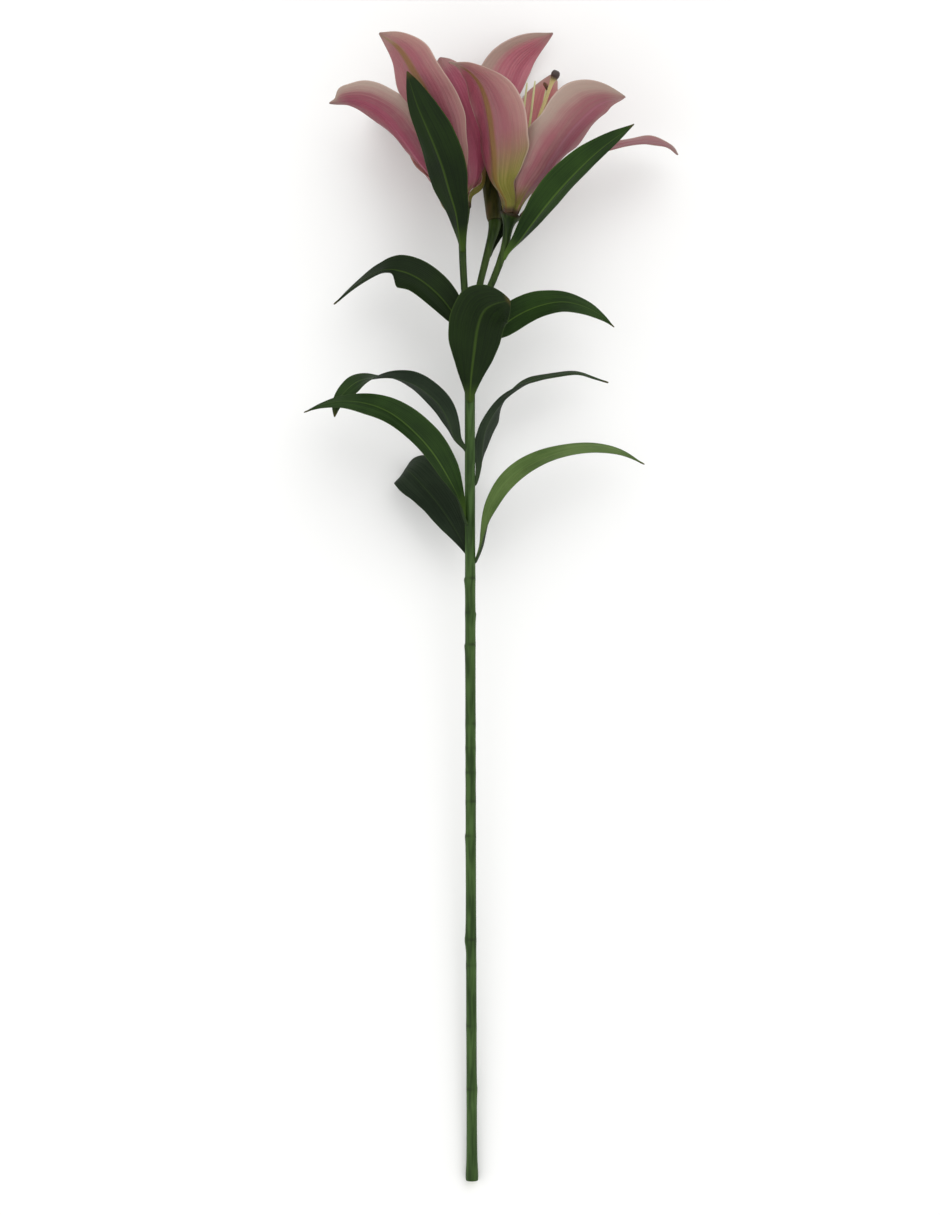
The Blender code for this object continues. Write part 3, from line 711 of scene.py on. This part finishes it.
def outline(share, base, peak, taper, point):
    """Width of a blade along its length, as a share of its widest."""
    rising = base + (1.0 - base) * np.sin(0.5 * np.pi * np.clip(share / peak, 0.0, 1.0)) ** 1.25
    past = np.clip((share - peak) / (1.0 - peak), 0.0, 1.0)
    falling = np.maximum((1.0 - past ** taper) ** point, 0.03)
    return np.where(share <= peak, rising, falling)


# No lean and no trim, from the foot to the tip.
EVEN = ((0.0, 0.0), (1.0, 0.0))
WHOLE = ((0.0, 1.0), (1.0, 1.0))


def blade(name, faces, points, azimuth_way, half_width, shape, turn, curl, rib=0.5,
          wave=(0.8, 2.0, 0.1), lean=EVEN, trim=WHOLE, crinkle=0.4, ragged=0.03):
    """One leaf, petal or sepal.

    faces are the finishes of the outer and the inner face.  half_width is in millimetres.
    turn and curl, the arc of the cross-section, are (share, degrees) pairs, and lean, the
    width moved from one half to the other, (share, amount) pairs.  trim narrows one half
    only, which cuts a notch or a flap into its margin.  rib is the depth of the fold at
    the midrib, and wave the height, count and start of the waves along the margins.
    crinkle is the height of soft dents all over, and ragged how uneven the outline is.
    """
    bpy.ops.object.select_all(action="DESELECT")
    bpy.ops.mesh.primitive_grid_add(x_subdivisions=BLADE_ACROSS, y_subdivisions=BLADE_ALONG,
                                    size=1.0, calc_uvs=True)
    piece = bpy.context.object
    piece.name = name
    blank = np.array([vertex.co for vertex in piece.data.vertices])
    u = blank[:, 0] * 2.0
    v = blank[:, 1] + 0.5
    seed = sum(ord(letter) for letter in name) % 97
    half = half_width * outline(v, *shape) * (1.0 + read(lean, v) * np.sign(u))
    half *= np.where(u > 0.0, read(trim, v), 1.0)
    half *= 1.0 + ragged * np.array([noise.noise(Vector((9.0 * t, 3.0 * (s > 0), seed)))
                                     for s, t in zip(u, v)])
    arc = np.radians(read(curl, v))
    arc = np.where(np.abs(arc) < 1e-3, 1e-3, arc)
    side = half / arc * np.sin(u * arc)
    rise = half / arc * (1.0 - np.cos(u * arc))
    rise -= rib * np.exp(-(side / 1.6) ** 2) * np.clip(1.2 - v, 0.3, 1.0)
    margin = np.abs(u) ** 3 * np.sin(np.pi * np.clip(v, 0.0, 1.0))
    rise += wave[0] * np.sin(2 * np.pi * (wave[1] * v + wave[2]) + 1.2 * (u > 0)) * margin
    for i, (s, t) in enumerate(zip(u, v)):
        broad = noise.noise(Vector((2.4 * s, 3.0 * t, seed)))
        narrow = noise.noise(Vector((6.0 * s, 9.0 * t, seed)))
        rise[i] += crinkle * (broad + 0.35 * narrow) * math.sin(math.pi * t)
    blank = np.column_stack([side, v, rise])
    piece.data.vertices.foreach_set("co", blank.ravel())
    weight = (0.30 + 0.45 * np.exp(-(u * 3.2) ** 2)) * (1.0 - 0.5 * np.abs(u) ** 2)
    weight = np.maximum(weight, np.clip(1.0 - v / 0.07, 0.0, 1.0) * 0.9)
    bend(piece, points, azimuth_way, turn)
    group = piece.vertex_groups.new(name="wall")
    for i, value in enumerate(weight):
        group.add([i], float(value), "REPLACE")
    for face in faces:
        piece.data.materials.append(face)
    select_only(piece)
    bpy.ops.object.modifier_add(type="SOLIDIFY")
    wall = piece.modifiers[-1]
    wall.thickness = WALL * MM
    wall.offset = 0.0
    wall.vertex_group = "wall"
    wall.material_offset = 1
    wall.use_even_offset = False
    bpy.ops.object.modifier_apply(modifier=wall.name)
    smooth(piece, 1)
    return piece


print("blade tool ready")

# %% [markdown]
# ## Leaves and bracts
#
# Lily leaves are set singly round the stem, and each one springs up, arches over and
# hangs by its tip.  Each is described by the places its midrib passes through and by the
# side of the stem it grows from.  Some also turn over on the way, so they show their
# slate lower face.  The back left leaf wears the slate finish on its upper face too, as
# painted shade.

# %% Leaves
LEAF = (0.13, 0.42, 1.9, 1.1)
# How far a leaf's foot is sunk into the stem, and how far it runs down along it.
FOOT_SUNK = 1.6
FOOT_RUN = 3.0
# points are the midrib, azimuth the side of the stem it grows from, half its half-width.
LEAVES = {
    "leaf_1_upper_left": dict(
        face=leaf_deep,
        points=[(-5, 584, -4), (-9.5, 601, -5), (-18.5, 615, -4), (-29, 625.5, -2), (-40, 633, 0),
                (-51, 637, 1), (-64, 637, 0), (-80, 628, -4), (-97.5, 614.5, -10)],
        azimuth=185, half=13.5,
        turn=[(0.0, 0.0), (0.2, -65.0), (0.60, -65.0), (0.68, -34.0), (1.0, -28.0)],
        curl=(60, 25, 0),
        trim=((0.0, 1.0), (0.5, 1.0), (0.59, 1.3), (0.615, 0.25), (0.8, 0.4), (1.0, 1.0))),
    "leaf_2_front": dict(
        face=leaf_deep, under=leaf_deep,
        points=[(-1.5, 548, 4.3), (-0.5, 563, 8), (1.5, 579, 14), (4, 596, 22), (8.5, 606.5, 33),
                (16, 610.5, 45), (26, 612, 57)],
        azimuth=90, half=20.0, turn=[(0.0, 0.0), (0.55, 0.0), (0.8, -38.0), (1.0, -55.0)],
        curl=(50, 20, 10), shape=(0.10, 0.56, 3.2, 0.9),
        lean=((0.0, 0.0), (0.5, -0.05), (1.0, -0.05))),
    "leaf_3_upper_right": dict(
        face=leaf_mid,
        points=[(3, 569, 0), (9, 585, 1), (20, 597, 2.5), (34, 606.5, 6), (49.5, 612.5, 9),
                (64.5, 614.5, 8), (79.5, 611, 5), (91.5, 604.5, 0), (100, 598, -4)],
        azimuth=0, half=13.0, turn=[(0.0, 0.0), (0.3, 58.0), (1.0, 48.0)], curl=(50, 20, 0)),
    "leaf_4_mid_left": dict(
        face=leaf_mid,
        points=[(-4.4, 512.5, 0.8), (-10.5, 518.5, 3), (-14.5, 529, 6), (-20.5, 541, 9),
                (-29.5, 550.5, 12), (-41, 558, 14), (-55, 562, 15), (-67.5, 561.5, 15),
                (-78.5, 559, 14), (-87.5, 552.5, 13), (-94, 543.5, 12), (-96, 534, 11)],
        azimuth=175, half=11.0, curl=(30, 20, 0), shape=(0.13, 0.40, 3.2, 0.85),
        turn=[(0.0, 30.0), (0.2, 50.0), (0.5, 25.0), (0.66, 0.0), (0.8, -50.0), (1.0, -60.0)]),
    "leaf_5_lower_left": dict(
        face=leaf_mid,
        points=[(-4.2, 462, 2.6), (-8.5, 476, 7), (-14, 487, 12), (-25.5, 506, 19),
                (-38.5, 521.5, 24), (-54, 534.5, 26), (-70.5, 542, 25), (-89, 544.5, 21),
                (-104.5, 542, 16), (-117.5, 537.5, 11)],
        azimuth=165, half=13.0, turn=[(0.0, -20.0), (0.25, -60.0), (0.7, -60.0), (1.0, -30.0)],
        curl=(40, 20, 0), lean=((0.0, 0.0), (0.2, -0.3), (0.4, -0.25), (0.7, 0.0))),
    # Painted shade: this leaf's upper face, turned towards the stem, wears the slate finish of the
    # lower faces.
    "leaf_6_back_left": dict(
        face=leaf_slate,
        points=[(-1.2, 436, -5), (-10, 453, -8), (-21, 470, -12), (-33, 485, -17),
                (-42.5, 495.5, -22), (-47, 498.5, -31), (-49, 497, -41.2)],
        azimuth=235, half=18.0,
        turn=[(0.0, 0.0), (0.3, -20.0), (0.62, -22.0), (0.8, -44.0), (1.0, -56.0)],
        curl=(45, 15, 0), shape=(0.10, 0.62, 3.2, 0.8),
        lean=((0.0, -0.1), (0.5, -0.25), (0.8, -0.15), (1.0, 0.0))),
    "leaf_7_mid_right": dict(
        face=leaf_mid,
        points=[(2.8, 490, -0.8), (5.5, 502, -3), (6, 513, -5), (8, 525, -7), (13, 536, -8),
                (21, 546.5, -9), (30, 554, -10), (40, 560, -10), (55, 564, -11),
                (72.5, 566.5, -12), (86, 563, -14), (96.5, 560, -16)],
        azimuth=350, half=10.5, curl=(30, 20, 0), shape=(0.13, 0.33, 1.6, 0.9),
        lean=((0.0, 0.0), (0.14, 0.0), (0.25, 0.4), (0.36, 0.5), (0.48, 0.25), (0.6, 0.0),
              (1.0, 0.0)),
        turn=[(0.0, -20.0), (0.2, -46.0), (0.36, -46.0), (0.5, -10.0), (0.62, 18.0), (1.0, 24.0)]),
    "leaf_8_lower_right": dict(
        face=leaf_fresh,
        points=[(2.8, 435.5, 0), (6.5, 444.5, 3), (8.5, 454, 5), (11, 464.5, 7), (15.5, 475, 9),
                (23, 486.5, 10), (34, 496.5, 10), (46, 503.5, 9), (60, 509, 8), (75.5, 512.5, 6),
                (89.5, 513, 3), (105, 510, -2), (121.5, 502, -8)],
        azimuth=5, half=10.5, turn=[(0.0, 10.0), (0.25, 40.0), (0.6, 36.0), (1.0, 36.0)],
        curl=(30, 20, 0)),
    "bract_1_left": dict(
        face=leaf_deep, under=leaf_deep,
        points=[(-6.8, 653, 4.2), (-9, 665, 9.5), (-11, 677, 15), (-15.5, 691, 24),
                (-20, 705.5, 34), (-25.5, 719, 43), (-31, 731, 48), (-38, 747.5, 52),
                (-44.5, 769, 53)],
        azimuth=110, half=15.0, turn=[(0.0, 0.0), (1.0, 0.0)], curl=(45, 20, 10),
        shape=(0.10, 0.50, 2.3, 0.9), lean=((0.0, 0.0), (0.35, 0.0), (0.7, 0.28), (1.0, 0.2))),
    "bract_2_right": dict(
        face=leaf_mid, under=leaf_mid,
        points=[(24.6, 649.5, 2.6), (33, 658.5, 8), (41.5, 669, 15), (50.5, 680, 22),
                (61.5, 692.5, 28), (73, 704, 33), (85, 715, 36), (97, 724.5, 36), (112, 735.5, 33)],
        azimuth=60, root=(21.4, 644.5, 1.8), half=11.5,
        turn=[(0.0, 0.0), (0.4, -10.0), (1.0, -10.0)], curl=(45, 20, 10),
        shape=(0.12, 0.48, 2.1, 1.0), lean=((0.0, 0.0), (0.3, -0.2), (0.7, -0.25), (1.0, 0.0))),
    "bract_3_back": dict(
        face=leaf_deep,
        points=[(14, 653.5, -14.4), (19, 666, -21), (26, 680, -28), (31, 697, -36),
                (34, 715, -44), (36, 733, -51)],
        azimuth=290, root=(11.6, 648.0, -9.8), half=7.0, turn=[(0.0, 0.0), (1.0, 0.0)],
        curl=(30, 15, 5)),
}
for node, leaf in LEAVES.items():
    azimuth = math.radians(leaf["azimuth"])
    sideways = np.array([math.sin(azimuth), 0.0, -math.cos(azimuth)])
    outward = np.array([math.cos(azimuth), 0.0, math.sin(azimuth)])
    sunk = outward * FOOT_SUNK + np.array([0.0, FOOT_RUN, 0.0])
    root = leaf.get("root", np.array(leaf["points"][0]) - sunk)
    curl = list(zip((0.0, 0.4, 1.0), leaf["curl"]))
    faces = (leaf.get("under", leaf_slate), leaf["face"])
    piece = blade("blade_" + node, faces, [root] + leaf["points"], sideways,
                  leaf["half"], leaf.get("shape", LEAF), leaf["turn"], curl, rib=0.9,
                  lean=leaf.get("lean", EVEN), trim=leaf.get("trim", WHOLE))
    hand_in(piece, node)
print("leaves and bracts:", len(LEAVES))

# %% [markdown]
# ## Sepals and petals
#
# A lily's six tepals come in two rings of three.  The outer ones, the sepals, are narrower
# with a strong outer midrib; the inner ones, the petals, are broader.  They stand close
# together at the foot, where they make the trumpet's tube, and flare and roll back at
# the tips.  Each one is placed by the azimuth it stands at round its own flower.

# %% Sepals and petals
PETAL_SHAPE = (0.15, 0.56, 2.4, 0.85)
SEPAL_SHAPE = (0.17, 0.58, 2.7, 0.85)
# The two lowest places of the midrib, as (outwards, upwards) from the flower's base.
PETAL_FOOT = ((4.6, -0.6), (8.0, 8.0))
SEPAL_FOOT = ((7.0, -0.6), (11.5, 7.5))
ROSE_RIB = sheen(128, 60, 78)
PALE_RIB = sheen(146, 88, 102)


def tepal(bloom, name, azimuth, points, half, roll=0.0, curl=(60, 38, -5), lean=EVEN, trim=WHOLE,
          shape=None, inside=petal_inner, **outside):
    """One sepal or petal, standing on its ring of the receptacle.

    azimuth is the side of the flower it stands on, points its midrib above the foot and
    half its half-width.  roll is its turn about the midrib, in degrees.  What is not named
    here goes to petal_face and describes the outer face.
    """
    inner = name.startswith("petal")
    foot_places = PETAL_FOOT if inner else SEPAL_FOOT
    foot = [bloom.place(azimuth, out, up) for out, up in foot_places]
    shape = shape or (PETAL_SHAPE if inner else SEPAL_SHAPE)
    sideways = np.cross(bloom.axis, bloom.away(azimuth))
    turn = [(0.0, 0.0), (0.25, 0.3 * roll), (0.6, roll), (1.0, roll)]
    outside.setdefault("rib", ROSE_RIB if inner else OLIVE)
    faces = (petal_face(name.replace("_", " ") + ", outside", **outside), inside)
    piece = blade("tepal_" + name, faces, foot + points, sideways, half, shape, turn,
                  list(zip((0.0, 0.4, 1.0), curl)), rib=0.7 if inner else 1.1,
                  wave=(2.1, 3.1, 0.1 * azimuth), lean=lean, trim=trim, crinkle=1.6, ragged=0.08)
    hand_in(piece, name)


tepal(LEFT, "sepal_left_front", 95,
      [(-12.5, 700, 19), (-16.5, 717, 29), (-22, 735, 36), (-30, 753, 40), (-40, 771, 41),
       (-50.5, 787, 40), (-64, 797.5, 38)],
      22.5, roll=-33, lean=((0.0, 0.0), (0.35, -0.14), (0.6, -0.1), (0.8, 0.08), (1.0, 0.1)),
      shape=(0.17, 0.58, 2.2, 0.95), pale_side=0.5, pale=PEACH, stripe=(0.28, 0.3, 0.3),
      rib_width=0.2, foot_side=0.7)
# Painted shade: this sepal's bronze body, and the olive green reaching three quarters up it, stand
# for the shade it lies in.
tepal(LEFT, "sepal_left_right", 332,
      [(6.5, 697, -8), (8, 712, -13), (5, 731, -15), (-2, 751, -19), (-9.5, 767, -26)],
      15.5, roll=-28, foot=0.75, body=PAINTED_SHADE_BRONZE, shape=(0.32, 0.58, 2.7, 0.85))
tepal(LEFT, "sepal_left_back", 215,
      [(-25, 698, -13), (-37, 718, -25), (-48, 738, -37), (-56, 755, -50), (-62, 763, -61)],
      18.0)
tepal(LEFT, "petal_left_side", 155,
      [(-25, 699, 7), (-35, 712, 11), (-46, 727, 15), (-58, 741, 18), (-72, 750.5, 19),
       (-86, 754, 18), (-99.5, 752.5, 14)],
      15.5, roll=36, curl=(60, 58, 15), body=SHADED_ROSE, pale_side=0.8,
      stripe=(-0.12, 0.5, 0.85), rib_width=0.06, lean=((0.0, 0.3), (0.9, 0.3), (1.0, 0.0)),
      trim=((0.0, 1.0), (0.88, 1.0), (0.93, 1.35), (0.955, 0.5), (1.0, 1.0)))
tepal(LEFT, "petal_left_front", 35,
      [(2, 699, 9), (3.5, 713, 12), (1.5, 729, 16), (-4.5, 745, 21), (-11.5, 762, 25),
       (-22.5, 782.5, 26)],
      17.5, roll=-38, body=FULL_ROSE, shape=(0.15, 0.58, 3.2, 0.7), stripe=(0.1, 0.7, 1.0))
tepal(LEFT, "petal_left_back", 275,
      [(-11, 701, -16), (-14, 723, -29), (-17, 745, -41), (-19, 762, -53), (-20, 771, -62)],
      16.2)
tepal(RIGHT, "sepal_right_front", 118,
      [(17.5, 697, 19), (15.5, 712.5, 28), (13.5, 728, 36), (11, 745.5, 43), (5, 761.5, 49),
       (-4.5, 771, 53), (-16, 775.5, 53)],
      21.5, roll=-2, pale_side=0.4, pale=PEACH, stripe=(-0.5, 0.6, 0.8), rib_width=0.14,
      foot=0.6, tip=0.9, foot_side=0.8, shape=(0.17, 0.56, 2.3, 0.95),
      lean=((0.0, 0.05), (0.3, 0.22), (0.58, 0.34), (0.72, 0.24), (0.82, 0.14), (1.0, 0.1)))
tepal(RIGHT, "sepal_right_side", 358,
      [(46.5, 691.5, -3), (61, 705, -6), (79.5, 717.5, -10), (100.5, 725.5, -15), (122, 730, -23),
       (138, 728.5, -30), (146.5, 723, -36)],
      19.0, shape=(0.17, 0.56, 3.0, 0.75))
tepal(RIGHT, "sepal_right_back", 238,
      [(22, 703, -18), (18, 726, -30), (18.5, 749, -39), (23, 773.5, -45), (33, 794, -48),
       (58, 811.5, -50)],
      21.5, inside=pink_inner, shape=(0.17, 0.56, 2.3, 0.95),
      lean=((0.0, 0.0), (0.4, 0.3), (0.6, 0.35), (0.8, 0.12), (1.0, 0.0)))
tepal(RIGHT, "petal_right_front", 58,
      [(39, 692, 15), (49, 704, 22), (60, 719.5, 30), (73, 736, 37), (88, 748.5, 43),
       (105.5, 752.5, 46)],
      25.4, roll=9, curl=(60, 57, 14), shape=(0.15, 0.64, 3.2, 0.9), rib=PALE_RIB,
      rib_width=0.07, pale_side=-0.8, stripe=(0.25, 0.4, 0.8),
      lean=((0.0, -0.1), (0.6, -0.12), (0.85, -0.22), (1.0, -0.1)))
tepal(RIGHT, "petal_right_back", 298,
      [(38.5, 701, -15), (45.2, 724, -28), (50.9, 747, -41), (54.5, 767, -53), (56.5, 784, -63)],
      16.0, shape=(0.15, 0.62, 3.4, 0.8),
      lean=((0.0, 0.0), (0.5, 0.35), (0.9, 0.45), (1.0, 0.0)))
tepal(RIGHT, "petal_right_left", 176,
      [(18.5, 697, 2), (17.5, 714, 1), (17, 733, -2), (15.5, 751, -7), (14, 766, -14)],
      14.0)
print("tepals: 12")

# %% [markdown]
# ## Stamens
#
# Six thin filaments stand round the pistil, each with an anther balanced across its tip.
# Filament and anther are modelled once each, straight, and copied.  On two filaments of
# the right-hand flower the anther has been picked off, as florists do to keep pollen from
# staining the petals.

# %% Filaments and anthers
filament_blank = grow_rings("filament_blank", 8, [
    (0.0, 1.1), (0.05, 1.0), (0.3, 0.95), (0.6, 0.9), (0.9, 0.85), (0.98, 0.7), (1.0, 0.4)])
mark(filament_blank, "along", length_mark)

anther_blank = grow_rings("anther_blank", 12, [
    (0.0, 0.35), (0.04, 0.85), (0.15, 1.45), (0.35, 1.65), (0.5, 1.6), (0.65, 1.65),
    (0.85, 1.45), (0.96, 0.85), (1.0, 0.35)])
press(anther_blank, lambda turn, place: 1.0 - 0.28 * (0.5 + 0.5 * math.cos(2.0 * turn)) ** 4)

ANTHER_RADIUS = 1.6
ANTHER_LENGTH = 12.0
ANTHER_GAP = 0.95
FILAMENT_RING = 2.5
FILAMENT_BEND = (6.0, 40.0)
FILAMENT_INTO_ANTHER = 0.9
STAMEN_TIPS = [
    (LEFT, [(-22, 770, 14), (-30, 764, 12), (-38, 758, 2), (-33, 758, -14), (-24, 766, -18),
            (-16, 770, -6)]),
    (RIGHT, [(62, 748, 18), (44, 769, 10), (38.5, 768, 8), (22, 752, -14), (26, 744, -20),
             (52, 765, -10)])]
BARE = ("right_2", "right_3")
for bloom, tips in STAMEN_TIPS:
    for number, tip in enumerate(tips):
        azimuth = 60.0 * number + 30.0
        middle = bloom.place(azimuth, *FILAMENT_BEND)
        name = f"{bloom.side}_{number + 1}"
        bare = name in BARE
        heading = np.array(tip) - middle
        heading /= np.linalg.norm(heading)
        reach = np.array(tip) + heading * (0.0 if bare else FILAMENT_INTO_ANTHER)
        filament = copy_of(filament_blank, "stamen_" + name)
        bend(filament, [bloom.place(azimuth, FILAMENT_RING, -0.5), middle, reach], TO_RIGHT)
        round_and_hand_in(filament, filament_skin, "filament_" + name)
        if bare:
            continue
        cross_way = np.cross(bloom.axis, bloom.away(azimuth)) + 0.6 * bloom.axis
        cross_way /= np.linalg.norm(cross_way)
        centre = np.array(tip) + heading * (ANTHER_RADIUS + ANTHER_GAP)
        half = cross_way * ANTHER_LENGTH / 2
        anther = copy_of(anther_blank, "pollen_" + name)
        bend(anther, [centre - half, centre, centre + half], heading)
        round_and_hand_in(anther, pollen, "anther_" + name)
bpy.data.objects.remove(filament_blank)
bpy.data.objects.remove(anther_blank)
print("stamens: 12 filaments, 10 anthers")

# %% [markdown]
# ## Pistils
#
# The pistil is one piece: a green ovary at the foot, a long style and a sticky three-lobed
# stigma on top, which darkens as it ages.

# %% Pistils
pistil_blank = grow_rings("pistil_blank", 18, [
    (0.0, 1.5), (0.02, 1.9), (0.1, 2.05), (0.2, 1.9), (0.25, 1.35), (0.5, 1.2), (0.88, 1.2),
    (0.92, 1.5), (0.94, 2.4), (0.957, 3.1), (0.975, 3.3), (0.99, 2.8), (1.0, 1.6)])


def three_lobes(turn, place):
    """The ovary and the stigma have three lobes, and the style between them is round."""
    return 1.0 + 0.16 * math.cos(3.0 * turn) * (place > 0.93 or place < 0.22)


press(pistil_blank, three_lobes)
STYLE_BEND = 45.0
mark(pistil_blank, "along", length_mark)
for bloom, tip in ((LEFT, (-30.0, 778.0, 0.0)), (RIGHT, (59.0, 777.0, 4.0))):
    piece = copy_of(pistil_blank, "pistil_of_" + bloom.side)
    bend(piece, [bloom.base, bloom.base + bloom.axis * STYLE_BEND, tip], TO_RIGHT)
    round_and_hand_in(piece, pistil_skin, "pistil_" + bloom.side)
bpy.data.objects.remove(pistil_blank)
print("pistils: 2")

# %% [markdown]
# ## Table, light and camera
#
# The plant lies on a plain pale table.  One large soft light stands above the flowers and
# to the right, a weaker one to the left, and a pale sky fills the shadows.  The camera
# looks straight down onto the stem's own plane, from two and a half metres, so the plant
# fills the view from end to end.

# %% Table
TABLE_SIZE = 8.0
TABLE_TONES = ((0.86, 0.86, 0.85), (0.88, 0.88, 0.87))
bpy.ops.object.select_all(action="DESELECT")
bpy.ops.mesh.primitive_plane_add(size=TABLE_SIZE, location=(0.0, 0.0, 0.0))
table = bpy.context.object
table.name = "table"
paint = Paint("table top", Roughness=0.8)
cloud = paint.grain(paint.place(), 3.0, 2.0)
table.data.materials.append(paint.finish(paint.mix(cloud, *TABLE_TONES)))
print("table:", TABLE_SIZE, "m across")

# %% Light
world = bpy.data.worlds.new("studio")
bpy.context.scene.world = world
world.use_nodes = True
world.node_tree.nodes["Background"].inputs["Color"].default_value = (1.0, 1.0, 1.0, 1.0)
world.node_tree.nodes["Background"].inputs["Strength"].default_value = 1.0


AIM = Vector((0.0, 0.1, 0.0))


def soft_light(name, place, size, power):
    light = bpy.data.lights.new(name, "AREA")
    light.size = size
    light.energy = power
    lamp = bpy.data.objects.new(name, light)
    lamp.location = place
    lamp.rotation_euler = (AIM - Vector(place)).to_track_quat("-Z", "Y").to_euler()
    bpy.context.scene.collection.objects.link(lamp)


soft_light("key", (1.0, 1.6, 2.4), 2.4, 24.0)
soft_light("fill", (-1.8, -0.4, 2.0), 2.4, 8.0)
print("lights: 2")

# %% Camera
CAMERA_DISTANCE = 2500.0
SENSOR = 36.0
VIEW_HEIGHT = 850.5
VIEW_CENTRE = (-1.4, 401.45)
camera_data = bpy.data.cameras.new("camera")
camera_data.lens = SENSOR * CAMERA_DISTANCE / VIEW_HEIGHT
camera = bpy.data.objects.new("camera", camera_data)
eye = on_table([*VIEW_CENTRE, CAMERA_DISTANCE])
camera.matrix_world = Matrix.Translation(eye) @ lay.to_4x4()
bpy.context.scene.collection.objects.link(camera)
bpy.context.scene.camera = camera
bpy.context.scene.view_settings.view_transform = "Standard"
print("lens", round(camera_data.lens, 1), "mm")
